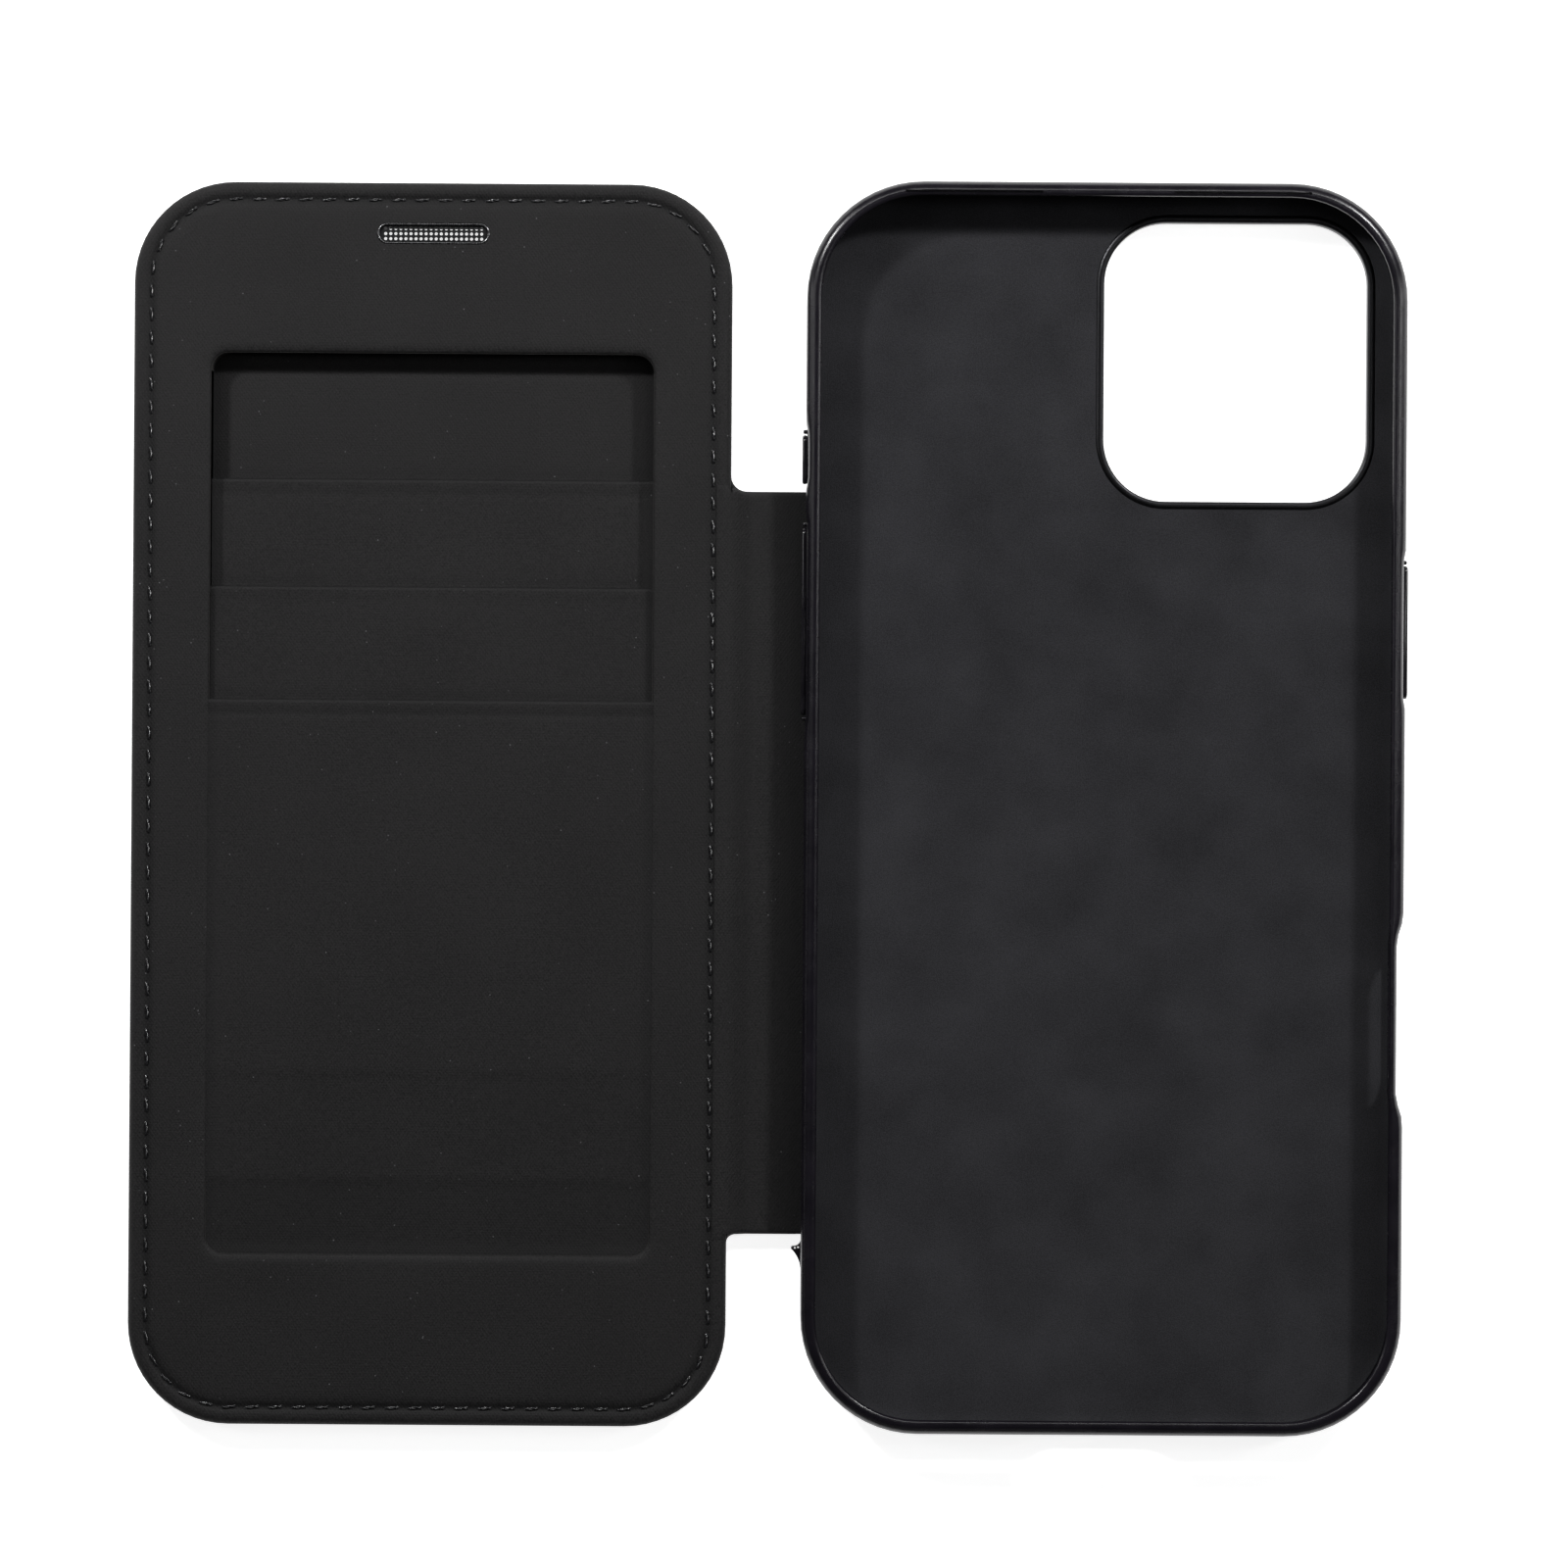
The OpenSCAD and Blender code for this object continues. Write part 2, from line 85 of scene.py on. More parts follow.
_, _, RECESS_W, RECESS_L = plan_of("pocket_base")
RECESS_R = 2.3
RECESS_FLOOR = mm_box("pocket_base")[1][2]

PLATE_LOW, PLATE_HIGH = mm_box("back_plate")
FRAME_LOW, FRAME_HIGH = mm_box("bumper_frame")
WALL_T = FRAME_HIGH[1] - PLATE_HIGH[1]
TRAY_X = (PLATE_LOW[0] + PLATE_HIGH[0]) / 2
TRAY_W = PLATE_HIGH[0] - PLATE_LOW[0] + 2 * WALL_T
TRAY_L = FRAME_HIGH[1] - FRAME_LOW[1]
TRAY_R = 15
TRAY_H = FRAME_HIGH[2]
TRAY_EDGE = TRAY_X - TRAY_W / 2
TRAY_FLOOR = mm_box("tray_lining")[1][2]
LIP_H = 0.8
LIP_REACH = 0.8
SIDE_Z = (TRAY_FLOOR + TRAY_H - LIP_H) / 2

CREASE_Z = JOINTS["tray_crease"]["pos_m"][2] / MM
TRAY_CREASE = JOINTS["tray_crease"]["pos_m"][0] / MM
COVER_CREASE = JOINTS["cover_crease"]["pos_m"][0] / MM
STRIP_BOTTOM, STRIP_TOP = (corner[1] for corner in mm_box("spine_tape"))
STRIP_MIDDLE = (TRAY_CREASE + COVER_CREASE) / 2

STITCH_INSET = 2.3
STITCH_PITCH = 3.0


# ---------------------------------------------------------------- mesh helpers
def arc(x, y, radius, start, stop, steps):
    """Points along an arc, both ends included, between two angles in degrees."""
    out = []
    for k in range(steps + 1):
        a = math.radians(start + (stop - start) * k / steps)
        out.append((x + radius * math.cos(a), y + radius * math.sin(a)))
    return out


def rounded_loop(width, length, radius, corner=14, end=26, side=90):
    """Points of a rounded rectangle round the origin, counter-clockwise. Loops of any
    size have the same number of points, in the same order."""
    x, y = width / 2 - radius, length / 2 - radius
    points = []
    corners = [(x, -y, -90), (x, y, 0), (-x, y, 90), (-x, -y, 180)]
    for i, (cx, cy, start) in enumerate(corners):
        points += arc(cx, cy, radius, start, start + 90, corner)
        nx, ny, following = corners[(i + 1) % 4]
        a = math.radians(following)
        goal = (nx + radius * math.cos(a), ny + radius * math.sin(a))
        count = side if i % 2 == 0 else end
        from_x, from_y = points[-1]
        for k in range(1, count):
            t = k / count
            points.append((from_x + (goal[0] - from_x) * t,
                           from_y + (goal[1] - from_y) * t))
    return np.array(points)


def ring_at(plan, z, centre=(0.0, 0.0)):
    """A plan loop at height z, as 3-D points."""
    out = np.zeros((len(plan), 3))
    out[:, 0] = plan[:, 0] + centre[0]
    out[:, 1] = plan[:, 1] + centre[1]
    out[:, 2] = z
    return out


def mesh_object(name, vertices, faces, sharp=40):
    """An object in metres from vertices in millimetres, smooth except at sharp edges."""
    mesh = bpy.data.meshes.new(name)
    mesh.from_pydata([tuple(c * MM for c in v) for v in vertices], [], faces)
    mesh.validate()
    fix = bmesh.new()
    fix.from_mesh(mesh)
    bmesh.ops.recalc_face_normals(fix, faces=fix.faces)
    fix.to_mesh(mesh)
    fix.free()
    soften(mesh, sharp)
    return placed(name, mesh)


def placed(name, data):
    """A new object with that mesh, light or camera, in the scene."""
    obj = bpy.data.objects.new(name, data)
    bpy.context.scene.collection.objects.link(obj)
    return obj


def soften(mesh, sharp):
    """Smooth shading with hard edges above an angle."""
    mesh.polygons.foreach_set("use_smooth", [True] * len(mesh.polygons))
    mesh.set_sharp_from_angle(angle=math.radians(sharp))


def tube_faces(rings, n, base=0, closed=False):
    """Quads through rings of n points each, the first point being number base. closed
    joins the last ring to the first; otherwise both ends are filled."""
    faces = []
    for i in range(rings if closed else rings - 1):
        a, b = base + i * n, base + ((i + 1) % rings) * n
        for k in range(n):
            m = (k + 1) % n
            faces.append((a + k, a + m, b + m, b + k))
    if not closed:
        faces.append(tuple(base + k for k in range(n - 1, -1, -1)))
        faces.append(tuple(base + (rings - 1) * n + k for k in range(n)))
    return faces


def skin_rings(name, rings, closed=False, sharp=40):
    """A tube through rings with the same number of points."""
    vertices = [tuple(p) for ring in rings for p in ring]
    return mesh_object(name, vertices, tube_faces(len(rings), len(rings[0]),
                                                  closed=closed), sharp)


def profile_rings(width, length, radius, profile, centre):
    """One ring for each (inset, height) of a profile round a rounded rectangle."""
    return [ring_at(rounded_loop(width - 2 * d, length - 2 * d, max(radius - d, 0.05)),
                    z, centre) for d, z in profile]


def slot_loop(length, height, steps=12):
    """Outline with half-round ends, long along its first axis."""
    r = height / 2
    half = length / 2 - r
    points = []
    for cx, start in ((half, -90), (-half, 90)):
        points += arc(cx, 0, r, start, start + 180, steps)
    return np.array(points)


def along_x(plan, x, y, z):
    """A plan loop turned to face along X: its first axis runs along Y, its second up."""
    out = np.zeros((len(plan), 3))
    out[:, 0] = x
    out[:, 1] = plan[:, 0] + y
    out[:, 2] = plan[:, 1] + z
    return out


def along_y(plan, x, y, z):
    """A plan loop turned to face along Y."""
    out = np.zeros((len(plan), 3))
    out[:, 0] = plan[:, 0] + x
    out[:, 1] = y
    out[:, 2] = plan[:, 1] + z
    return out


def box_object(name, low, high):
    """A box between two corners."""
    corners = [(x, y, z) for x in (low[0], high[0]) for y in (low[1], high[1])
               for z in (low[2], high[2])]
    faces = [(0, 1, 3, 2), (4, 6, 7, 5), (0, 4, 5, 1), (2, 3, 7, 6), (0, 2, 6, 4),
             (1, 5, 7, 3)]
    return mesh_object(name, corners, faces)


def joined(name, objects):
    """One object from several, which are used up."""
    work = bmesh.new()
    for obj in objects:
        work.from_mesh(obj.data)
        bpy.data.objects.remove(obj)
    mesh = bpy.data.meshes.new(name)
    work.to_mesh(mesh)
    work.free()
    return placed(name, mesh)


def cut(obj, cutters, sharp=40):
    """Takes the cutters' shapes out of obj. The cutters don't touch each other."""
    cutter = joined("cutter", cutters)
    modifier = obj.modifiers.new("cut", "BOOLEAN")
    modifier.operation = "DIFFERENCE"
    modifier.solver = "EXACT"
    modifier.object = cutter
    apply_modifiers(obj)
    bpy.data.objects.remove(cutter)
    soften(obj.data, sharp)
    return obj


def apply_modifiers(obj):
    """Puts the result of the object's modifiers in its mesh."""
    bpy.context.view_layer.update()
    done = obj.evaluated_get(bpy.context.evaluated_depsgraph_get())
    mesh = bpy.data.meshes.new_from_object(done)
    obj.modifiers.clear()
    obj.data = mesh


def smooth_step(t):
    """0 up to t = 0, 1 from t = 1, and smooth between."""
    t = min(max(t, 0.0), 1.0)
    return t * t * (3 - 2 * t)


def shade(obj, tone=None):
    """Painted shade: how light the leather is painted at each vertex, 1 where it lies flat, less
    where shade falls in grooves, the recess, creases and by pocket mouths, and less on the lower
    pocket steps. tone takes a place in millimetres."""
    values = obj.data.attributes.new("tone", "FLOAT", "POINT")
    for vertex, value in zip(obj.data.vertices, values.data):
        value.value = 1.0 if tone is None else tone(*(c / MM for c in vertex.co))
    return obj


# ---------------------------------------------------------------- material helpers
class Look:
    """A new material with its Principled shader and short ways to add nodes."""

    def __init__(self, name):
        self.material = bpy.data.materials.new(name)
        self.material.use_nodes = True
        self.tree = self.material.node_tree
        self.shader = self.tree.nodes["Principled BSDF"]
        self.place = self.node("ShaderNodeTexCoord").outputs["Object"]

    def feed(self, socket, value):
        """Puts another node's output or a fixed value in a socket."""
        if isinstance(value, bpy.types.NodeSocket):
            self.tree.links.new(value, socket)
        else:
            socket.default_value = value

    def node(self, kind, **values):
        """A new node with its inputs or settings."""
        node = self.tree.nodes.new(kind)
        for key, value in values.items():
            if key in node.inputs.keys():
                self.feed(node.inputs[key], value)
            else:
                setattr(node, key, value)
        return node

    def noise(self, size_mm, detail=4.0, roughness=0.55, stretch=None):
        """Cloudy noise with features of about that size, stretched along the axes."""
        place = self.place
        if stretch:
            mapping = self.node("ShaderNodeMapping", Vector=place, Scale=stretch)
            place = mapping.outputs["Vector"]
        return self.node("ShaderNodeTexNoise", Detail=detail, Roughness=roughness,
                         Scale=1 / (size_mm * MM), Vector=place).outputs["Fac"]

    def cells(self, size_mm, feature="F1"):
        """Distance from the middles of small cells."""
        return self.node("ShaderNodeTexVoronoi", feature=feature, Vector=self.place,
                         Scale=1 / (size_mm * MM)).outputs["Distance"]

    def bands(self, pitch_mm, angle):
        """Fine straight ribs, their rows turned by an angle in degrees."""
        mapping = self.node("ShaderNodeMapping", Vector=self.place,
                            Rotation=(0, 0, math.radians(angle)))
        return self.node("ShaderNodeTexWave", wave_type="BANDS", bands_direction="X",
                         Distortion=0.3, Scale=0.314 / (pitch_mm * MM),
                         Vector=mapping.outputs["Vector"]).outputs["Fac"]

    def ramp(self, value, stops):
        """Colours or greys along a value: stops are (position, grey or colour)."""
        node = self.node("ShaderNodeValToRGB", Fac=value)
        line = node.color_ramp
        while len(line.elements) < len(stops):
            line.elements.new(0.5)
        for element, (position, colour) in zip(line.elements, stops):
            element.position = position
            if isinstance(colour, (int, float)):
                colour = (colour, colour, colour)
            element.color = (*colour, 1)
        return node.outputs["Color"]

    def math(self, operation, a, b):
        """A sum or product of two values, each a number or an output."""
        node = self.node("ShaderNodeMath", operation=operation)
        self.feed(node.inputs[0], a)
        self.feed(node.inputs[1], b)
        return node.outputs[0]

    def mix(self, factor, a, b):
        """Mix of two colours by a factor."""
        node = self.node("ShaderNodeMix", data_type="RGBA")
        for index, value in ((0, factor), (6, a), (7, b)):
            self.feed(node.inputs[index], value)
        return node.outputs[2]

    def bump(self, height, depth_mm, below=None):
        """Normal of a relief that deep, on top of the one below."""
        node = self.node("ShaderNodeBump", Strength=1.0, Distance=depth_mm * MM,
                         Height=height)
        if below is not None:
            self.feed(node.inputs["Normal"], below)
        return node.outputs["Normal"]

    def rough(self, value, middle, spread=0.06):
        """Roughness that varies round a middle value."""
        self.use("Roughness", self.ramp(value, [(0.3, middle - spread),
                                                (0.7, middle + spread)]))

    def set(self, **values):
        """Fixed values of the shader."""
        for key, value in values.items():
            self.feed(self.shader.inputs[key.replace("_", " ")], value)

    def use(self, name, output):
        """Puts a node's output in the shader."""
        self.feed(self.shader.inputs[name], output)


def leather(name, light, dark, grain_mm, roughness, weave=0.0):
    """Coated leather: fine grain, faint woven emboss, cloudy tone, a little dust."""
    look = Look(name)
    cloud = look.noise(17, detail=3)
    fine = look.noise(grain_mm, detail=2, roughness=0.6)
    speck = look.noise(0.16, detail=1, roughness=0.7)
    value = look.math("ADD", look.math("MULTIPLY", cloud, 0.15),
                      look.math("ADD", look.math("MULTIPLY", fine, 0.5),
                                look.math("MULTIPLY", speck, 0.35)))
    tone = look.ramp(value, [(0.4, dark), (0.6, light)])
    # painted shade: each vertex's tone darkens the leather towards near black where shade falls
    painted_shade = look.node("ShaderNodeAttribute", attribute_name="tone")
    tone = look.mix(painted_shade.outputs["Fac"], (0.0022, 0.0022, 0.0025, 1), tone)
    dust = look.ramp(look.cells(1.5), [(0.04, 1.0), (0.07, 0.0)])
    scarce = look.ramp(look.noise(3, detail=1), [(0.44, 0.0), (0.6, 0.9)])
    look.use("Base Color", look.mix(look.math("MULTIPLY", dust, scarce), tone,
                                    (0.11, 0.11, 0.115, 1)))
    pores = look.cells(grain_mm, feature="SMOOTH_F1")
    normal = look.bump(look.noise(9, detail=2), 0.03)
    normal = look.bump(pores, 0.014, normal)
    normal = look.bump(speck, 0.012, normal)
    if weave:
        dots = look.math("MULTIPLY", look.bands(0.38, 35), look.bands(0.38, -35))
        normal = look.bump(dots, weave, normal)
    look.use("Normal", normal)
    look.rough(fine, roughness, 0.08)
    look.set(Specular_IOR_Level=0.22, Sheen_Weight=0.03, Sheen_Roughness=0.4)
    return look.material


def elastomer(name):
    """Semi-gloss moulded rubber: faint mould texture, smudges in the gloss."""
    look = Look(name)
    smudge = look.noise(6, detail=4)
    look.use("Base Color", look.ramp(smudge, [(0.35, (0.0050, 0.0042, 0.0066)),
                                              (0.65, (0.0085, 0.0072, 0.0108))]))
    look.rough(look.noise(2.2, detail=5), 0.25, 0.05)
    normal = look.bump(look.noise(0.25, detail=3), 0.004)
    look.use("Normal", look.bump(look.noise(6, detail=1), 0.012, normal))
    look.set(Specular_IOR_Level=0.42)
    return look.material


def microfibre(name):
    """Short-napped cloth: soft tone patches where the nap lies over, fuzzy bump."""
    look = Look(name)
    nap = look.noise(11, detail=2)
    fuzz = look.noise(0.16, detail=5, roughness=0.7)
    fibre = look.noise(0.5, detail=4, stretch=(2.2, 0.5, 1.0))
    value = look.math("ADD", look.math("MULTIPLY", nap, 0.3),
                      look.math("MULTIPLY", fuzz, 0.7))
    look.use("Base Color", look.ramp(value, [(0.36, (0.014, 0.014, 0.0155)),
                                             (0.66, (0.036, 0.036, 0.040))]))
    normal = look.bump(fibre, 0.03)
    look.use("Normal", look.bump(fuzz, 0.045, normal))
    look.set(Roughness=0.95, Specular_IOR_Level=0.12, Sheen_Weight=0.12,
             Sheen_Roughness=0.35)
    return look.material


def moulded(name, dark, light, roughness):
    """Moulded hard plastic."""
    look = Look(name)
    look.use("Base Color", look.ramp(look.noise(5, detail=3), [(0.35, dark),
                                                              (0.65, light)]))
    look.rough(look.noise(1.2, detail=4), roughness)
    look.use("Normal", look.bump(look.noise(0.3, detail=3), 0.006))
    return look.material


def metal(name, dark, light, roughness, brush=(1.0, 0.06, 1.0), metallic=1.0):
    """Brushed or etched metal."""
    look = Look(name)
    grain = look.noise(0.12, detail=4, stretch=brush)
    look.use("Base Color", look.ramp(grain, [(0.3, dark), (0.7, light)]))
    look.rough(grain, roughness, 0.07)
    look.use("Normal", look.bump(grain, 0.003))
    look.set(Metallic=metallic)
    return look.material


def board(name, dark, light):
    """Pressed fibre board or non-woven tape."""
    look = Look(name)
    fibre = look.noise(0.6, detail=5, stretch=(1.0, 3.0, 1.0))
    look.use("Base Color", look.ramp(fibre, [(0.35, dark), (0.65, light)]))
    look.use("Normal", look.bump(fibre, 0.03))
    look.set(Roughness=0.9)
    return look.material


def thread_look(name):
    """Waxed black thread, glossy where it crowns."""
    look = Look(name)
    fibre = look.noise(0.06, detail=4)
    look.use("Base Color", look.ramp(fibre, [(0.3, (0.003, 0.003, 0.004)),
                                             (0.7, (0.014, 0.014, 0.016))]))
    look.use("Normal", look.bump(fibre, 0.006))
    look.rough(fibre, 0.29, 0.07)
    look.set(Specular_IOR_Level=0.8, Coat_Weight=0.2, Coat_Roughness=0.15)
    return look.material


LEATHER = leather("outer_leather", (0.0160, 0.0153, 0.0168), (0.0062, 0.0060, 0.0066),
                  0.42, 0.6)
LINING = leather("lining_leather", (0.0160, 0.0154, 0.0158), (0.0062, 0.0059, 0.0062),
                 0.32, 0.68, weave=0.022)
RUBBER = elastomer("bumper_rubber")
CLOTH = microfibre("microfibre")
BUTTON = moulded("button_gloss", (0.006, 0.0052, 0.0075), (0.012, 0.0108, 0.014), 0.14)
PLATE = moulded("black_polycarbonate", (0.016, 0.016, 0.017), (0.026, 0.026, 0.028),
                0.5)
RING_METAL = metal("camera_ring_anodised", (0.02, 0.02, 0.022), (0.045, 0.045, 0.048),
                   0.34, brush=(1.0, 1.0, 1.0))
GRILLE_PAINT = metal("grille_black_etched", (0.006, 0.006, 0.007), (0.016, 0.016, 0.017),
                     0.36, brush=(1.0, 1.0, 1.0), metallic=0.4)
RIM_METAL = metal("grille_rim_satin", (0.09, 0.09, 0.092), (0.18, 0.18, 0.185), 0.25)
THREAD = thread_look("waxed_thread")
BOARD = board("pressed_board", (0.012, 0.0115, 0.011), (0.028, 0.026, 0.025))
TAPE = board("backing_tape", (0.1, 0.1, 0.1), (0.2, 0.2, 0.2))
STEEL = metal("bright_steel", (0.45, 0.45, 0.46), (0.65, 0.65, 0.67), 0.3)


def paint(obj, material):
    """Gives the object that material only."""
    obj.data.materials.clear()
    obj.data.materials.append(material)
    return obj


def finish_piece(obj, material, body, stands_for=()):
    """Material and body of a piece that doesn't bend; the CAD parts it stands for are hidden."""
    paint(obj, material)
    if stands_for:
        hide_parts(*stands_for)
    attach(obj, body)
    return obj


# ---------------------------------------------------------------- cover
EDGE_R = 1.05           # of the top edge, which starts EDGE_DROP below the flat top
EDGE_DROP = 0.07
GROOVE_INSET = 2.35


def cover_profile():
    """From the underside, round the edge and over the stitch groove to the flat top."""
    top = COVER_TOP
    side_low = 1.35
    under = [(7, 0.0), (3.2, 0.0), (2.75, 0.02), (2.5, 0.13), (2.3, 0.17), (2.1, 0.13),
             (1.85, 0.04), (1.6, 0.04)]
    low = arc(side_low, side_low + 0.05, side_low, 270, 180, 8)
    high = arc(EDGE_R, top - EDGE_DROP - EDGE_R, EDGE_R, 180, 90, 9)
    groove = [(1.35, top - 0.07), (1.62, top - 0.1), (1.85, top - 0.19),
              (2.08, top - 0.29), (2.3, top - 0.33), (2.52, top - 0.28),
              (2.8, top - 0.15), (3.2, top - 0.05), (3.9, top - 0.01), (5.0, top)]
    return under + low + high + groove


def cover_inset(x, y):
    """How far a place lies inside the cover's outline."""
    dx = abs(x - COVER_X) - COVER_W / 2 + COVER_R
    dy = abs(y) - COVER_L / 2 + COVER_R
    return COVER_R - math.hypot(max(dx, 0), max(dy, 0)) - min(max(dx, dy), 0)


def cover_painted_shade(x, y, z):
    """Painted shade: darker in the stitch groove, and down on the recess's walls and floor."""
    # painted shade in the stitch groove
    tone = 1 - 0.6 * math.exp(-((cover_inset(x, y) - GROOVE_INSET) / 0.6) ** 2)
    # painted shade down in the recess
    if z < COVER_TOP - 0.25 and cover_inset(x, y) > 8:
        tone *= 0.6
    return tone


def recess_rings(centre):
    """From the flat top over the recess's soft lip, down its wall and in to its floor."""
    top = COVER_TOP
    floor = RECESS_FLOOR - 0.1
    rings = []
    edge = rounded_loop(COVER_W - 10, COVER_L - 10, COVER_R - 5)
    lip = rounded_loop(RECESS_W + 3, RECESS_L + 3, RECESS_R + 1.5)
    for t in (0.3, 0.6, 0.85):
        rings.append(ring_at(edge + (lip - edge) * t, top, centre))
    for out, z in ((1.5, top), (1.05, top - 0.015), (0.65, top - 0.06),
                   (0.35, top - 0.13), (0.15, top - 0.22), (0.03, top - 0.36),
                   (0.0, top - 0.6), (0.0, floor + 0.3), (-0.1, floor + 0.08),
                   (-0.4, floor)):
        loop = rounded_loop(RECESS_W + 2 * out, RECESS_L + 2 * out, RECESS_R + out)
        rings.append(ring_at(loop, z, centre))
    return rings


EAR_LOW, EAR_HIGH = mm_box("grille_rim")
_, EAR_Y, EAR_W, EAR_H = plan_of("grille_rim")
EAR_RIM = 0.4


def slot_cutter(length, height, x, y, low, high):
    """Upright cutter with half-round ends."""
    rings = [ring_at(slot_loop(length, height), z, (x, y)) for z in (low, high)]
    return skin_rings("slot_cutter", rings)


NOTCH_X = COVER_CREASE - 0.65       # the strip goes into a notch in the cover's edge
NOTCH_CLEAR = 0.3


def make_cover_shell():
    """Both leathers of the cover in one shell, with the recess, notch and earpiece slot."""
    centre = (COVER_X, 0)
    rings = profile_rings(COVER_W, COVER_L, COVER_R, cover_profile(), centre)
    rings += recess_rings(centre)
    shell = skin_rings("cover_shell", rings)
    notch = box_object("notch", (NOTCH_X, STRIP_BOTTOM - NOTCH_CLEAR, -1),
                       (COVER_EDGE + 1, STRIP_TOP + NOTCH_CLEAR, COVER_TOP + 1))
    upper = slot_cutter(EAR_W - 0.04, EAR_H - 0.04, COVER_X, EAR_Y, EAR_LOW[2],
                        COVER_TOP + 1)
    cut(shell, [notch, upper])
    lower = slot_cutter(EAR_W - 2 * EAR_RIM, EAR_H - 2 * EAR_RIM, COVER_X, EAR_Y, -1,
                        EAR_LOW[2] + 0.1)
    cut(shell, [lower])
    shade(shell, cover_painted_shade)
    return finish_piece(shell, LINING, "cover",
                        ("cover_skin", "cover_lining"))


make_cover_shell()


def seam_path(inset, count):
    """Points at even steps along a loop that lies inset from the cover's edge, with the
    direction of the seam at each."""
    loop = rounded_loop(COVER_W - 2 * inset, COVER_L - 2 * inset, COVER_R - inset)
    loop = np.vstack([loop, loop[:1]])
    steps = np.linalg.norm(np.diff(loop, axis=0), axis=1)
    along = np.concatenate([[0], np.cumsum(steps)])
    out = []
    for k in range(count):
        s = along[-1] * k / count
        x, y = (np.interp(s, along, loop[:, i]) for i in (0, 1))
        ahead = [np.interp((s + 0.2) % along[-1], along, loop[:, i]) for i in (0, 1)]
        direction = Vector((ahead[0] - x, ahead[1] - y)).normalized()
        out.append((x, y, direction))
    return out, along[-1]


def make_stitches(name, z, up):
    """A row of separate stitches round the cover, each two plies wound together, which
    dip into the needle holes at both ends. up is 1 on the inner face, -1 on the back."""
    length = seam_path(STITCH_INSET, 1)[1]
    count = round(length / STITCH_PITCH)
    sides, stations = 6, 17
    ply, wound, turns = 0.1, 0.09, 1.1
    half = 0.36 * length / count
    vertices, faces = [], []
    for x, y, d in seam_path(STITCH_INSET, count)[0]:
        lean = math.radians(random.uniform(3.0, 7.0))
        d = Vector((d.x * math.cos(lean) - d.y * math.sin(lean),
                    d.x * math.sin(lean) + d.y * math.cos(lean)))
        across = Vector((-d.y, d.x))
        size = random.uniform(0.92, 1.08)
        twist = random.uniform(-0.25, 0.25)
        for start in (0.0, math.pi):
            base = len(vertices)
            for i in range(stations):
                t = -1 + 2 * i / (stations - 1)
                turn = start + twist + math.pi * turns * t
                dip = 0.05 - 0.40 * abs(t) ** 5
                thin = ply * size * (1 - 0.3 * abs(t) ** 6)
                side = wound * math.cos(turn)
                middle = Vector((COVER_X + x + d.x * t * half + across.x * side,
                                 y + d.y * t * half + across.y * side,
                                 z + up * dip + wound * math.sin(turn)))
                for k in range(sides):
                    a = 2 * math.pi * k / sides
                    vertices.append((middle.x + across.x * thin * math.cos(a),
                                     middle.y + across.y * thin * math.cos(a),
                                     middle.z + thin * math.sin(a)))
            faces += tube_faces(stations, sides, base)
    return mesh_object(name, vertices, faces, sharp=80)


finish_piece(make_stitches("inner_stitches", COVER_TOP - 0.22, 1), THREAD, "cover",
             ("cover_seam",))
finish_piece(make_stitches("back_stitches", 0.2, -1), THREAD, "cover")


# ---------------------------------------------------------------- earpiece grille
def make_grille_rim():
    """Pressed metal rim with a rolled edge round the earpiece slot."""
    z0, z1 = EAR_LOW[2], EAR_HIGH[2]
    profile = [(0.0, z0), (0.0, z1 - 0.16), (0.06, z1 - 0.05), (0.16, z1),
               (0.26, z1 - 0.02), (0.35, z1 - 0.1), (EAR_RIM, z1 - 0.22), (EAR_RIM, z0)]
    rings = [ring_at(slot_loop(EAR_W - 2 * d, EAR_H - 2 * d, 16), z, (COVER_X, EAR_Y))
             for d, z in profile]
    rim = skin_rings("grille_bezel", rings, closed=True, sharp=60)
    return finish_piece(rim, RIM_METAL, "cover", ("grille_rim",))


make_grille_rim()


# ---------------------------------------------------------------- card pockets
def pocket_half_width(y, bottom, half):
    """Half width of a panel whose two lower corners are round."""
    up = y - bottom
    if up >= RECESS_R:
        return half
    return half - (RECESS_R - math.sqrt(max(RECESS_R ** 2 - (RECESS_R - up) ** 2, 0)))


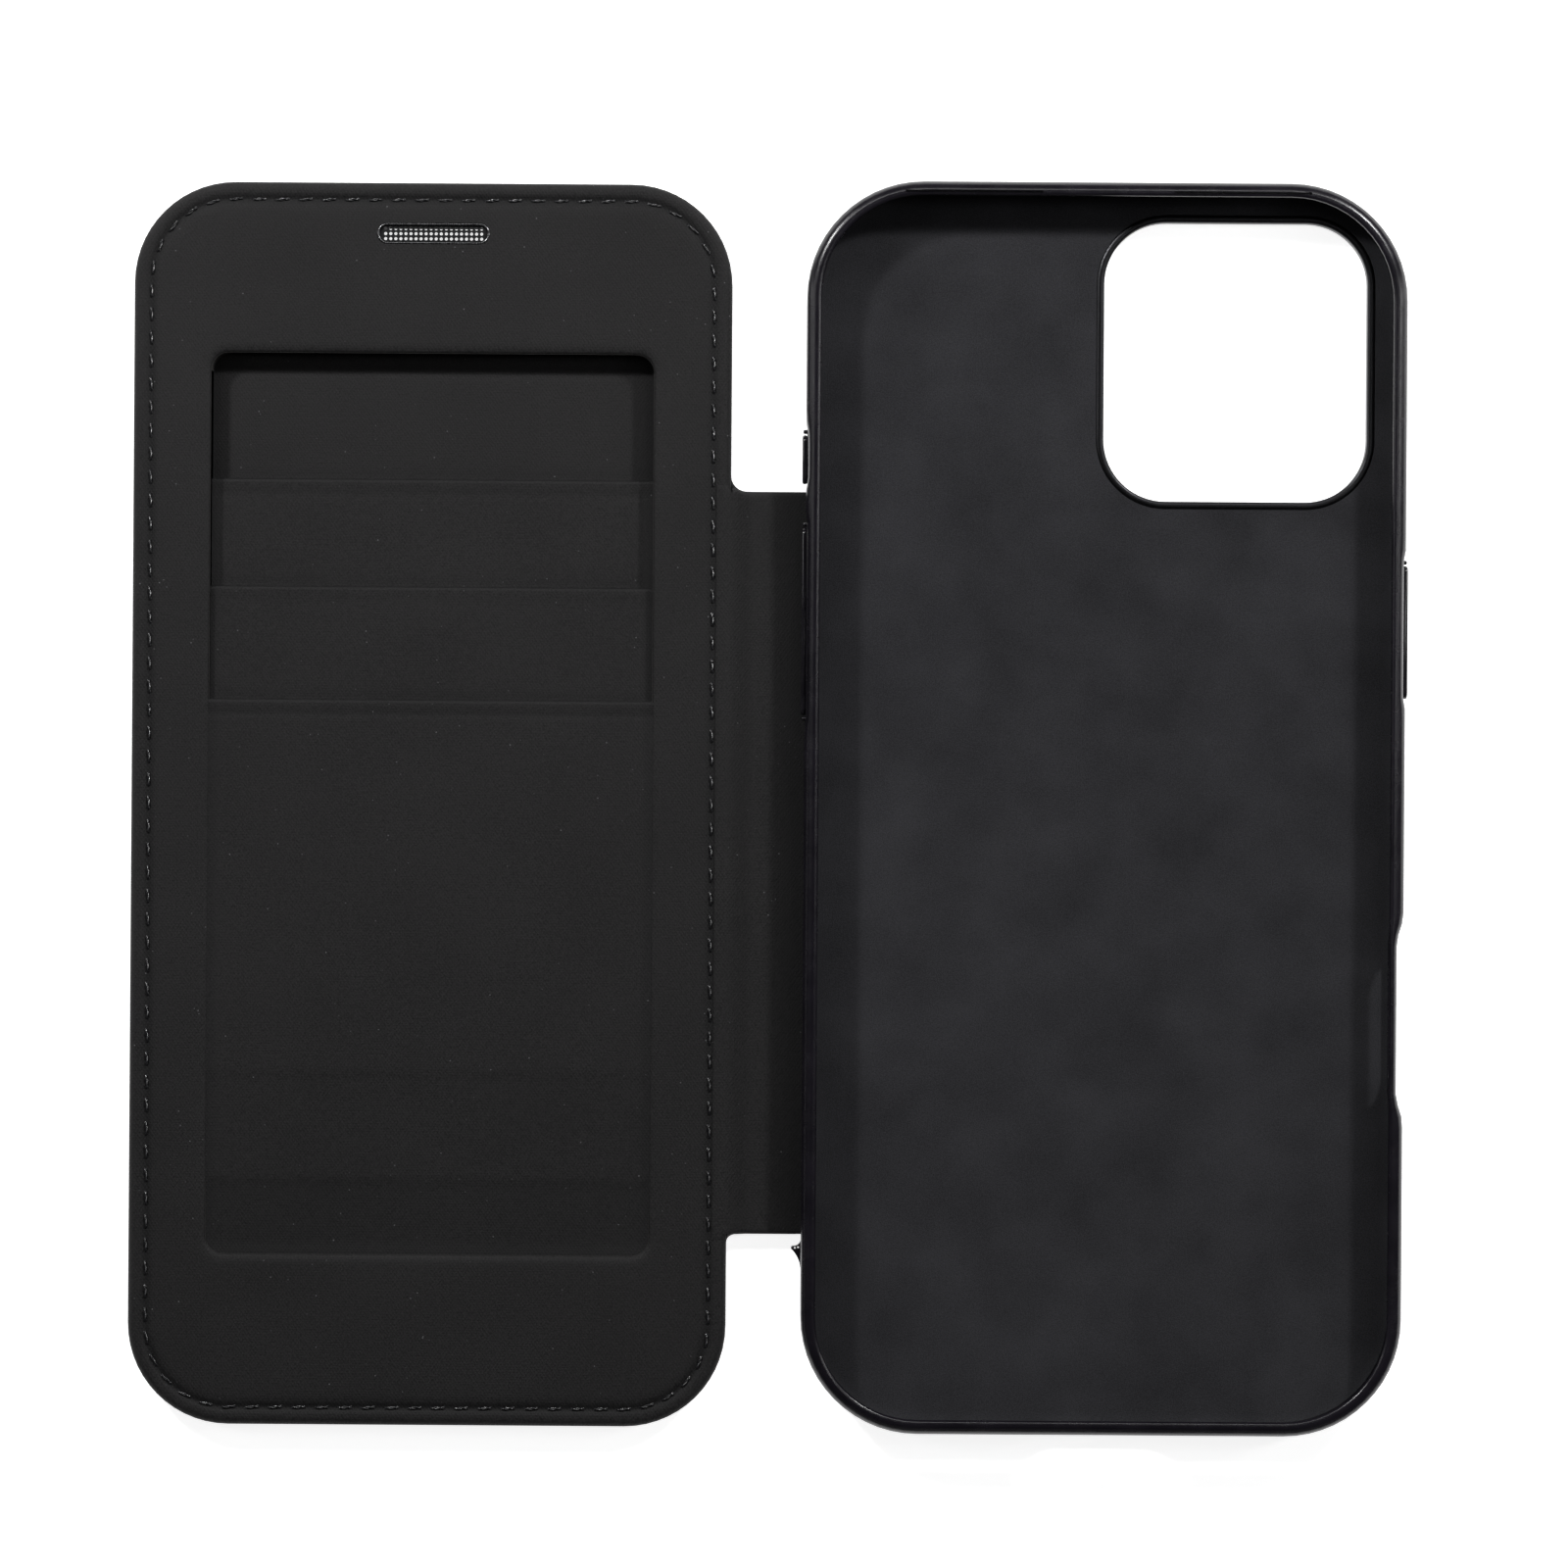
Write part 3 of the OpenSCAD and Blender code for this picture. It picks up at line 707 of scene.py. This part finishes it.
def make_panel(name, node, side_rise=0.0, tuck=0.04, steps_down=(), shadow_from=None):
    """A pocket front: leather with a folded, pressed mouth, rising softly to the frame
    at its glued edges, which run in by tuck under the frame's lip. steps_down are
    (y, depth, tone): below y it lies that much deeper and that much darker.
    shadow_from is where the next pocket's mouth touches it; a painted shadow darkens it just
    above there."""
    low, high = mm_box(node)
    half = (high[0] - low[0]) / 2 + tuck
    bottom, mouth, under, top = low[1] - tuck, high[1], low[2], high[2]
    columns = 72
    rows = [bottom + (mouth - bottom) * t for t in np.linspace(0, 1, 130)]
    rows = rows[:-1] + [mouth - d for d in (0.45, 0.3, 0.17, 0.07, 0.0)]
    rows = sorted(set(round(y, 4) for y in rows))

    def from_side(x, y):
        """Distance to the nearest glued edge."""
        across = pocket_half_width(max(y, bottom), bottom, half) - abs(x)
        return min(across, y - bottom)

    def surface(x, y):
        """Height of the leather."""
        z = top - 0.03
        from_mouth = mouth - y
        z += 0.03 * math.exp(-((from_mouth - 0.55) / 0.5) ** 2)
        z -= 0.07 * math.exp(-((from_mouth - 1.7) / 0.25) ** 2)
        z -= 0.16 * max(0.0, 1 - from_mouth / 0.3) ** 2
        for step_y, depth, _ in steps_down:
            z -= depth * smooth_step((step_y - y) / 1.4 + 0.5)
        z += side_rise * (1 - smooth_step(from_side(x, y) / 1.5))
        z += 0.012 * math.sin(x * 0.21 + y * 0.13) * math.sin(y * 0.11 - x * 0.05)
        return z

    def tone(x, y, z):
        """Painted shade at the glued edges by the recess walls, in the crease below the mouth,
        along the mouth's edge and just above the next pocket's mouth; darker too on the lower
        steps.
        """
        x -= COVER_X
        # painted shade along the glued edges, below the recess walls
        value = 1 - 0.34 * (1 - smooth_step((from_side(x, y) - 0.2) / 1.6))
        for step_y, _, darker in steps_down:
            value *= 1 - darker * smooth_step((step_y - y) / 2.2 + 0.5)
        # painted shadow just above the next pocket's mouth
        if shadow_from is not None and y > shadow_from:
            value *= 1 - 0.6 * math.exp(-(y - shadow_from) / 0.7)
        # painted shade in the crease below the mouth
        value *= 1 - 0.35 * math.exp(-((mouth - y - 1.7) / 0.22) ** 2)
        # painted shade along the mouth's folded edge
        return value * (1 - 0.7 * max(0.0, 1 - (mouth - y) / 0.3))

    vertices, faces = [], []
    for y in rows:
        width = pocket_half_width(y, bottom, half)
        for k in range(columns + 1):
            t = -1 + 2 * k / columns
            x = width * (0.55 * t + 0.45 * math.sin(t * math.pi / 2))
            vertices.append((COVER_X + x, y, surface(x, y)))
    n = columns + 1
    for i in range(len(rows) - 1):
        for k in range(columns):
            a = i * n + k
            faces.append((a, a + 1, a + n + 1, a + n))
    total = len(vertices)
    vertices += [(x, y, under + 0.01) for x, y, z in vertices]
    faces += [tuple(total + c for c in reversed(face)) for face in faces]
    rim = list(range(n)) + [i * n + columns for i in range(1, len(rows))]
    rim += [(len(rows) - 1) * n + k for k in range(columns - 1, -1, -1)]
    rim += [i * n for i in range(len(rows) - 2, 0, -1)]
    for a, b in zip(rim, rim[1:] + rim[:1]):
        faces.append((a, total + a, total + b, b))
    panel = shade(mesh_object(name, vertices, faces, sharp=60), tone)
    return finish_piece(panel, LINING, "cover", (node,))


POCKET_END_1, POCKET_END_2 = -34.8, -48.7      # the two pockets below end there
MOUTHS = [mm_box(f"pocket_panel_{k}")[1][1] for k in (1, 2, 3)]
make_panel("pocket_floor_lining", "pocket_base", shadow_from=MOUTHS[0])
make_panel("pocket_front_1", "pocket_panel_1", 0.3, shadow_from=MOUTHS[1])
make_panel("pocket_front_2", "pocket_panel_2", 0.3, shadow_from=MOUTHS[2])
make_panel("pocket_front_3", "pocket_panel_3", 0.145, 0.12,
           ((POCKET_END_1, 0.07, 0.14), (POCKET_END_2, 0.09, 0.2)))


# ---------------------------------------------------------------- spine
def strip_station(x, top, bottom, y0, y1, radius=0.75):
    """Closed loop round the strip at one x: over the top, round one end, back under."""
    along, round_steps = 96, 6
    radius = min(0.48 * (top - bottom), radius)
    reach = y1 - y0 - 2 * radius
    spread = [-1 + 2 * k / along for k in range(along + 1)]
    spread = [0.5 + 0.5 * (0.3 * t + 0.7 * math.sin(t * math.pi / 2)) for t in spread]
    loop = [(y0 + radius + reach * t, top) for t in spread]
    loop += arc(y1 - radius, top - radius, radius, 90, 0, round_steps)[1:]
    loop += arc(y1 - radius, bottom + radius, radius, 0, -90, round_steps)[1:]
    loop += [(y1 - radius - reach * t, bottom) for t in spread[1:]]
    loop += arc(y0 + radius, bottom + radius, radius, -90, -180, round_steps)[1:]
    loop += arc(y0 + radius, top - radius, radius, -180, -270, round_steps)[1:-1]
    return np.array([(x, y, z) for y, z in loop])


WRAP_START = -1.95     # from the cover's edge, inwards, where the lining leaves the groove
STRIP_HALF_T = 0.6
FLARE_TOP = 2.0        # radius of the strip's corners against the cover
FLARE_BOTTOM = 1.1
FLARE_TUCK = 1.4       # how far the wrap runs past the strip's ends, under the leather


def wrap_heights(x):
    """Top and bottom of the leather beside the cover, at x."""
    u = x - COVER_EDGE
    fall = smooth_step((u + 0.9) / 4.7)
    start = COVER_TOP - 0.06
    top = start - (start - CREASE_Z - STRIP_HALF_T) * fall
    for inset, drop in ((1.35, 0.0), (1.62, 0.03), (1.85, 0.12), (1.95, 0.16)):
        if -u >= inset:
            top = start - drop
    bottom = 0.04 + (CREASE_Z - STRIP_HALF_T - 0.04) * smooth_step((u + 1.3) / 5.1)
    return top, bottom


def flare(u, radius):
    """How far the strip reaches past its end where it meets the cover's edge."""
    if u >= radius:
        return 0.0
    if u < 0:
        return FLARE_TUCK + (radius - FLARE_TUCK) * max(0.0, 1 + u / 0.2)
    return radius - math.sqrt(radius ** 2 - (radius - u) ** 2)


def edge_height(u):
    """Height of the cover's rounded top edge, at u past its edge."""
    shoulder = COVER_TOP - EDGE_DROP - EDGE_R
    if u >= 0:
        return shoulder
    return shoulder + math.sqrt(max(EDGE_R ** 2 - (EDGE_R + max(u, -EDGE_R)) ** 2, 0))


def wrap_painted_shade(x, y, z):
    """Painted shade: the strip's leather is darker in the stitch groove and down beside the
    tray, where the tray's wall shades it.
    """
    # painted shade in the stitch groove
    groove = 1 - 0.6 * math.exp(-((COVER_EDGE - x - GROOVE_INSET) / 0.6) ** 2)
    # painted shade down beside the tray
    return groove * (1 - 0.45 * smooth_step((x - STRIP_MIDDLE) / (TRAY_EDGE
                                                                  - STRIP_MIDDLE)))


def finish_wrap(name, stations, stands_for):
    """One half of the strip's leather, lying between two places along X from one body towards
    the other, with its painted shade and material; the CAD parts it stands for are hidden."""
    wrap = shade(skin_rings(name, stations, sharp=60), wrap_painted_shade)
    paint(wrap, LINING)
    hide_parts(*stands_for)
    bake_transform(wrap)


def make_wrap_cover():
    """Leather from the stitch groove over the cover's edge to the middle of the strip.
    Past the strip's ends it lies on the cover's edge and runs in under its leather."""
    stations = []
    xs = np.concatenate([
        np.linspace(COVER_EDGE + WRAP_START, COVER_EDGE - 0.5, 10),
        np.linspace(COVER_EDGE - 0.5, COVER_EDGE + 0.4, 19)[1:],
        np.linspace(COVER_EDGE + 0.4, COVER_EDGE + 2.4, 16)[1:],
        np.linspace(COVER_EDGE + 2.4, STRIP_MIDDLE, 7)[1:]])
    for x in xs:
        top, bottom = wrap_heights(x)
        u = x - COVER_EDGE
        station = strip_station(x, top, bottom, STRIP_BOTTOM - flare(u, FLARE_BOTTOM),
                                STRIP_TOP + flare(u, FLARE_TOP),
                                0.08 + 0.67 * smooth_step((u + 0.05) / 0.35))
        middle = (top + bottom) / 2
        roof = edge_height(u) + 0.01
        for p in station:
            past = max(p[1] - STRIP_TOP, STRIP_BOTTOM - p[1])
            if past <= 0 or p[2] <= middle:
                continue
            share = (p[2] - middle) / (top - middle)
            lower = min(roof, top)
            if u < 0:
                lower -= 0.3 * smooth_step((past - 0.75) / 0.5)
            goal = middle + share * max(lower - middle, 0.05)
            p[2] += (goal - p[2]) * smooth_step(past / 0.45)
        stations.append(station)
    finish_wrap("spine_wrap_cover", stations, ("spine_lining",))


def make_wrap_tray():
    """Leather from the middle of the strip to the slot in the tray's wall."""
    stations = []
    into_wall = 0.7
    reach = TRAY_EDGE + into_wall
    for x in np.linspace(STRIP_MIDDLE, reach, 34):
        t = (x - STRIP_MIDDLE) / (reach - STRIP_MIDDLE)
        top = CREASE_Z + STRIP_HALF_T - 0.16 * smooth_step(t)
        bottom = CREASE_Z - STRIP_HALF_T + 0.1 * smooth_step(t)
        stations.append(strip_station(x, top, bottom, STRIP_BOTTOM, STRIP_TOP))
    finish_wrap("spine_wrap_tray", stations, ("spine_skin", "spine_anchor"))


make_wrap_cover()
make_wrap_tray()


# ---------------------------------------------------------------- tray
SCOOP_Y, SCOOP_L = -26.7, 26.7      # the cut-out for the touch control
SCOOP_SLOPE, SCOOP_DEPTH = 3.8, 0.85
SCOOP_SLOT_L, SCOOP_SLOT_H = 17, 3.2
BUTTON_SLOT_H = 2.6
BUTTON_FLANGE = 0.6     # how far the flange reaches past the key
PORT_W, PORT_H = 12.5, 4.7
SPEAKER_X, SPEAKER_W, SPEAKER_H = 17.5, 13, 1.5
LIP_SLOT_X, LIP_SLOT_L, LIP_SLOT_W, LIP_SLOT_INSET = 17.2, 17.6, 0.3, 1.42
BUTTON_NODES = {"action_button": -1, "volume_button": -1, "power_button": 1}
BUTTON_DENT = 0.28      # the wall's outer face is that much lower beside a button
DENT_FADE = 0.8
SEAT_DEPTH, SEAT_MARGIN = 0.4, 0.75     # of a button flange's seat in the inner face


def button_middle(node):
    """A button's y, and the length of its slot."""
    _, y, _, length = plan_of(node)
    return y, length - 2 * BUTTON_FLANGE + 0.16


def scooped(ring, inset):
    """Pushes a ring of the wall in where the touch control is and, much less, beside
    the buttons; more at the outer face."""
    flange = WALL_T + LIP_REACH
    reach = TRAY_W / 2 - flange - 0.2
    dents = [(1, SCOOP_Y, SCOOP_L / 2, SCOOP_SLOPE, SCOOP_DEPTH, flange)]
    for node, side in BUTTON_NODES.items():
        y, length = button_middle(node)
        dents.append((side, y, length / 2 + 1.0, 1.2, BUTTON_DENT, DENT_FADE))
    for p in ring:
        for side, y, half, slope, depth, fade in dents:
            if side * (p[0] - TRAY_X) > reach:
                p[0] -= side * depth * smooth_step((half - abs(p[1] - y)) / slope) * max(
                    0.0, 1 - inset / fade)
    return ring


def bumper_profile():
    """Closed section of the wall: foot, rounded outside, ridge and groove, lip, inside."""
    h = TRAY_H
    flange = WALL_T + LIP_REACH
    lip = h - LIP_H
    out = [(flange, 0.6), (flange, 0.1), (flange - 0.1, 0.0), (1.6, 0.0)]
    out += arc(1.6, 1.6, 1.6, 262, 180, 9)
    out += [(0.0, 2.6), (0.0, 4.9), (0.0, 6.6)]
    out += arc(1.5, h - 1.5, 1.5, 180, 100, 16)
    out += [(1.34, h - 0.035), (1.42, h - 0.02), (1.5, h - 0.03), (1.68, h - 0.08),
            (1.8, h - 0.17), (1.87, h - 0.28), (flange, h - 0.42),
            (flange, lip + 0.1), (flange - 0.1, lip), (WALL_T, lip),
            (WALL_T, 4.9), (WALL_T, 0.6)]
    return out


def wall_bar(x0, x1, y, z, length, height):
    """Cutter through a side wall."""
    return skin_rings("bar", [along_x(slot_loop(length, height), x, y, z)
                              for x in (x0, x1)])


def make_bumper():
    """The moulded ring round the phone, with all its slots."""
    centre = (TRAY_X, 0)
    profile = bumper_profile()
    rings = profile_rings(TRAY_W, TRAY_L, TRAY_R, profile, centre)
    rings = [scooped(ring, point[0]) for ring, point in zip(rings, profile)]
    shell = skin_rings("bumper_shell", rings, closed=True, sharp=50)
    cutters = []
    for node, side in BUTTON_NODES.items():
        y, length = button_middle(node)
        face = TRAY_X + side * TRAY_W / 2
        cutters.append(wall_bar(face - side * (WALL_T + 0.5), face + side * 0.5, y,
                                SIDE_Z, length, BUTTON_SLOT_H))
    right = TRAY_X + TRAY_W / 2
    cutters.append(wall_bar(right - WALL_T - 0.5, right + 0.5, SCOOP_Y, SIDE_Z,
                            SCOOP_SLOT_L, SCOOP_SLOT_H))
    front, back = -TRAY_L / 2 - 0.5, -TRAY_L / 2 + WALL_T + 0.5
    for x, length, height in ((0, PORT_W, PORT_H), (-SPEAKER_X, SPEAKER_W, SPEAKER_H),
                              (SPEAKER_X, SPEAKER_W, SPEAKER_H)):
        cutters.append(skin_rings("port", [
            along_y(slot_loop(length, height), TRAY_X + x, y, SIDE_Z)
            for y in (front, back)]))
    half_l, half_w, y = LIP_SLOT_L / 2, LIP_SLOT_W / 2, TRAY_L / 2 - LIP_SLOT_INSET
    for x in (TRAY_X - LIP_SLOT_X, TRAY_X + LIP_SLOT_X):
        cutters.append(box_object("lip_slot", (x - half_l, y - half_w, TRAY_H - 0.5),
                                  (x + half_l, y + half_w, TRAY_H + 0.2)))
    cutters.append(box_object("strip_slot", (TRAY_EDGE - 0.5, STRIP_BOTTOM, 0.85),
                              (TRAY_EDGE + WALL_T + 0.05, STRIP_TOP, 2.35)))
    cut(shell, cutters, sharp=50)
    seats = []
    for node, side in BUTTON_NODES.items():
        y, length = button_middle(node)
        inner = TRAY_X + side * (TRAY_W / 2 - WALL_T)
        seats.append(wall_bar(inner - side * 0.5, inner + side * SEAT_DEPTH, y, SIDE_Z,
                              length + 2 * SEAT_MARGIN,
                              BUTTON_SLOT_H + 2 * SEAT_MARGIN))
    cut(shell, seats, sharp=50)
    return finish_piece(shell, RUBBER, "tray", ("bumper_frame",))


make_bumper()


def make_side_bead():
    """Low moulded bead on the free side, near the bottom."""
    y, length, height, proud = -55.8, 9.9, 1.6, 0.2
    right = TRAY_X + TRAY_W / 2
    profile = [(0.0, -0.3), (0.0, proud - 0.12), (0.08, proud - 0.04), (0.22, proud)]
    rings = [along_x(slot_loop(length - 2 * d, height - 2 * d), right + out, y, SIDE_Z)
             for d, out in profile]
    return finish_piece(skin_rings("side_bead", rings, sharp=60), RUBBER, "tray")


# the cord lug: places measured from the wall's face and the frame's middle
LUG_TIP, LUG_TIP_R, LUG_COVER = (-0.98, -56.9), 0.26, 0.24
LUG_UPPER, LUG_LOWER = (-0.95, -55.66), (-4.2, -60.0)
LUG_HOLES = ((-0.74, -56.9), (-0.32, -56.82))
LUG_LOW, LUG_HIGH, LUG_ROOT, LUG_HOLE_R = 1.9, 3.1, 0.3, 0.13


def hollow_points(hollow, steps):
    """The lug's hollow flank, from its tip to the wall's face."""
    to_tip = np.subtract(LUG_TIP, hollow)
    radius = np.linalg.norm(to_tip) - LUG_COVER
    start = math.atan2(to_tip[1], to_tip[0])
    stop = math.copysign(math.acos(min(1.0, -hollow[0] / radius)), start)
    return [(hollow[0] + radius * math.cos(start + (stop - start) * k / steps),
             hollow[1] + radius * math.sin(start + (stop - start) * k / steps))
            for k in range(1, steps + 1)]


def make_cord_lug():
    """Small moulded fin with two pinholes, on the spine side."""
    upper, lower = hollow_points(LUG_UPPER, 12), hollow_points(LUG_LOWER, 14)
    first = math.atan2(LUG_UPPER[1] - LUG_TIP[1], LUG_UPPER[0] - LUG_TIP[0])
    last = math.atan2(LUG_LOWER[1] - LUG_TIP[1], LUG_LOWER[0] - LUG_TIP[0])
    last += 2 * math.pi
    tip = [(LUG_TIP[0] + LUG_TIP_R * math.cos(first + (last - first) * k / 12),
            LUG_TIP[1] + LUG_TIP_R * math.sin(first + (last - first) * k / 12))
           for k in range(1, 12)]
    plan = np.array([(LUG_ROOT, lower[-1][1]), (LUG_ROOT, upper[-1][1])]
                    + upper[::-1] + tip + lower)
    middle = np.array((-0.5, -57.2))
    rings = [ring_at(middle + (plan - middle) * (1 - shrink), z, (TRAY_EDGE, 0))
             for shrink, z in ((0.12, LUG_LOW), (0.03, LUG_LOW + 0.05),
                               (0.0, LUG_LOW + 0.14), (0.0, LUG_HIGH - 0.14),
                               (0.03, LUG_HIGH - 0.05), (0.12, LUG_HIGH))]
    lug = skin_rings("cord_lug", rings, sharp=50)
    cut(lug, [slot_cutter(2.002 * LUG_HOLE_R, 2 * LUG_HOLE_R, TRAY_EDGE + x, y,
                          LUG_LOW - 1, LUG_HIGH + 1) for x, y in LUG_HOLES], sharp=50)
    return finish_piece(lug, RUBBER, "tray")


make_side_bead()
make_cord_lug()

BUTTON_BODIES = {"action_button": "action_key", "volume_button": "volume_key",
                 "power_button": "power_key"}
STUDS = {"action_button": (1,), "volume_button": (-1, 1), "power_button": (1,)}


def make_button(node, side):
    """Key with a long crowned bar and small end studs, on a plinth whose flange keeps
    it in its slot."""
    low, high = mm_box(node)
    face = TRAY_X + side * TRAY_W / 2
    proud = high[0] - face if side > 0 else face - low[0]
    _, y, depth, length = plan_of(node)
    height, end = 2.44, 0.85
    length -= 2 * BUTTON_FLANGE
    inner = depth - proud

    def layer(shape_l, shape_h, profile, at=y):
        """A bar built outwards from the wall through (inset, distance out)."""
        rings = [along_x(slot_loop(shape_l - 2 * d, shape_h - 2 * d, 14),
                         face + side * out, at, SIDE_Z) for d, out in profile]
        return skin_rings("layer", rings)

    plinth = [(-BUTTON_FLANGE, -inner), (-BUTTON_FLANGE, -inner + 0.28),
              (0.0, -inner + 0.3), (0.0, -0.30), (0.05, -0.22), (0.16, -0.17),
              (0.4, -0.16)]
    bar = [(0.1, -0.5), (0.1, -0.12), (0.02, -0.05), (0.0, 0.03), (0.0, proud - 0.24),
           (0.05, proud - 0.1), (0.14, proud - 0.025), (0.28, proud),
           (0.45, proud - 0.01)]
    stud = [(0.0, -0.5), (0.0, proud - 0.3), (0.03, proud - 0.2),
            (0.1, proud - 0.12), (0.2, proud - 0.08)]
    studs = STUDS[node]
    first = -length / 2 + (end if -1 in studs else 0.05)
    last = length / 2 - end
    parts = [layer(length, height, plinth),
             layer(last - first, 1.7, bar, y + (first + last) / 2)]
    parts += [layer(0.56, 0.55, stud, y + turn * (length / 2 - 0.42))
              for turn in studs]
    key = joined(node.replace("_button", "_keycap"), parts)
    soften(key.data, 60)
    return finish_piece(key, BUTTON, BUTTON_BODIES[node], (node,))


for button_node, button_side in BUTTON_NODES.items():
    make_button(button_node, button_side)

CAMERA_X, CAMERA_Y, CAMERA_W, CAMERA_L = plan_of("camera_frame")
CAMERA_R = 9
CAMERA_RING = 1.0


def camera_cutter(low, high):
    """Cutter of the camera window between two heights."""
    loop = rounded_loop(CAMERA_W, CAMERA_L, CAMERA_R, 14, 12, 12)
    return skin_rings("camera_cutter", [ring_at(loop, z, (CAMERA_X, CAMERA_Y))
                                        for z in (low, high)])


def open_area(width, length, radius):
    """Square metres of a rounded sheet less the camera window."""
    def rounded(w, l, r):
        return w * l - (4 - math.pi) * r ** 2
    return (rounded(width, length, radius)
            - rounded(CAMERA_W, CAMERA_L, CAMERA_R)) * MM * MM


def make_back():
    """Leather glued on the back, its edge turned in and pressed down."""
    _, _, width, length = plan_of("back_skin")
    top = mm_box("back_skin")[1][2]
    radius = TRAY_R - WALL_T - LIP_REACH
    profile = [(8, 0.0), (1.6, 0.0), (0.8, 0.012), (0.3, 0.06), (0.06, 0.16),
               (0.0, 0.32), (0.0, top), (6, top)]
    back = skin_rings("back_leather", profile_rings(width, length, radius, profile,
                                                    (TRAY_X, 0)))
    cut(back, [camera_cutter(-1, 3)])
    shade(back)
    open_area(width, length, radius)
    return finish_piece(back, LEATHER, "tray", ("back_skin",))


def make_bed():
    """Microfibre bed under the phone, turned up a little against the wall."""
    _, _, width, length = plan_of("tray_lining")
    low, top = (corner[2] for corner in mm_box("tray_lining"))
    radius = TRAY_R - WALL_T
    profile = [(7, low), (0.02, low), (0.02, top + 0.1), (0.14, top + 0.17),
               (0.35, top + 0.12), (0.7, top + 0.03), (1.3, top), (4, top), (9, top)]
    bed = skin_rings("tray_bed", profile_rings(width, length, radius, profile,
                                               (TRAY_X, 0)))
    cut(bed, [camera_cutter(0, 4)])
    open_area(width, length, radius)
    return finish_piece(bed, CLOTH, "tray", ("tray_lining",))


def make_camera_ring():
    """Anodised ring with rolled edges round the camera window."""
    z1 = mm_box("camera_frame")[1][2]
    profile = [(0.0, 0.25), (0.12, 0.06), (0.35, 0.0), (0.65, 0.0), (0.88, 0.08),
               (CAMERA_RING, 0.3), (CAMERA_RING, z1 - 0.2), (0.92, z1 + 0.02),
               (0.7, z1 + 0.12), (0.4, z1 + 0.12), (0.1, z1 + 0.04), (0.0, z1 - 0.1)]
    rings = [ring_at(rounded_loop(CAMERA_W - 2 * d, CAMERA_L - 2 * d, CAMERA_R - d, 18,
                                  10, 10), z, (CAMERA_X, CAMERA_Y)) for d, z in profile]
    ring = skin_rings("camera_bezel", rings, closed=True, sharp=60)
    return finish_piece(ring, RING_METAL, "tray", ("camera_frame",))


make_back()
make_bed()
make_camera_ring()

# ---------------------------------------------------------------- CAD nodes that stay
CAD_LOOKS = {
    "back_plate": PLATE, "keeper_strips": STEEL, "spine_tape": TAPE,
    "cover_board": BOARD, "cover_core": BOARD, "cover_hinge_tab": BOARD,
    "cover_magnets": STEEL, "grille_mesh": GRILLE_PAINT, "pocket_spacer_1": BOARD,
    "pocket_spacer_2": BOARD, "pocket_spacer_3": BOARD}
for cad_node, cad_look in CAD_LOOKS.items():
    paint(frame["nodes"][cad_node], cad_look)


# ---------------------------------------------------------------- stage, light, camera
def make_floor():
    """A plain pale floor just under the object."""
    look = Look("pale_floor")
    look.set(Base_Color=(0.86, 0.86, 0.86, 1), Roughness=0.9, Emission_Strength=0.85,
             Emission_Color=(1, 1, 1, 1))
    size, drop = 3000, -0.05
    floor = mesh_object("floor", [(-size, -size, drop), (size, -size, drop),
                                  (size, size, drop), (-size, size, drop)],
                        [(0, 1, 2, 3)])
    paint(floor, look.material)


def make_light(name, place, size, power):
    """A soft rectangular light at a place in metres, facing the object."""
    data = bpy.data.lights.new(name, "AREA")
    data.shape = "RECTANGLE"
    data.size, data.size_y = size
    data.energy = power
    light = placed(name, data)
    light.location = place
    light.rotation_euler = (-Vector(place)).to_track_quat("-Z", "Y").to_euler()


def make_world(strength):
    """An even, faint light from all round."""
    world = bpy.data.worlds.new("studio")
    world.use_nodes = True
    background = world.node_tree.nodes["Background"]
    background.inputs["Color"].default_value = (1, 1, 1, 1)
    background.inputs["Strength"].default_value = strength
    bpy.context.scene.world = world


def make_camera():
    """Straight above, framed as wide as 202 mm at the cover's inner face."""
    data = bpy.data.cameras.new("camera")
    distance, sensor, framed = 0.70, 36.0, 0.2017
    aim_x, aim_y, roll = 0.00204, 0.0029, 0.39
    data.sensor_width = sensor
    data.lens = sensor * distance / framed
    data.clip_start, data.clip_end = 0.01, 20
    camera = placed("camera", data)
    camera.location = (aim_x, aim_y, distance + COVER_TOP * MM)
    camera.rotation_euler = (0, 0, math.radians(roll))
    bpy.context.scene.camera = camera


make_floor()
make_light("key_top", (0.0, 0.30, 0.36), (0.9, 0.06), 1.0)
make_light("corner_left", (-0.34, 0.36, 0.40), (0.06, 0.06), 1.8)
make_light("corner_right", (0.34, 0.36, 0.40), (0.06, 0.06), 1.8)
make_light("strip_left", (-0.6, 0.15, 0.24), (0.08, 0.8), 0.5)
make_light("strip_right", (0.6, 0.15, 0.24), (0.08, 0.8), 0.6)
make_light("strip_high", (0.36, 0.08, 0.5), (0.03, 0.6), 0.3)
make_light("strip_front", (0.0, -0.7, 0.3), (0.9, 0.06), 0.08)
make_world(0.035)
make_camera()
bpy.context.scene.view_settings.view_transform = "Standard"
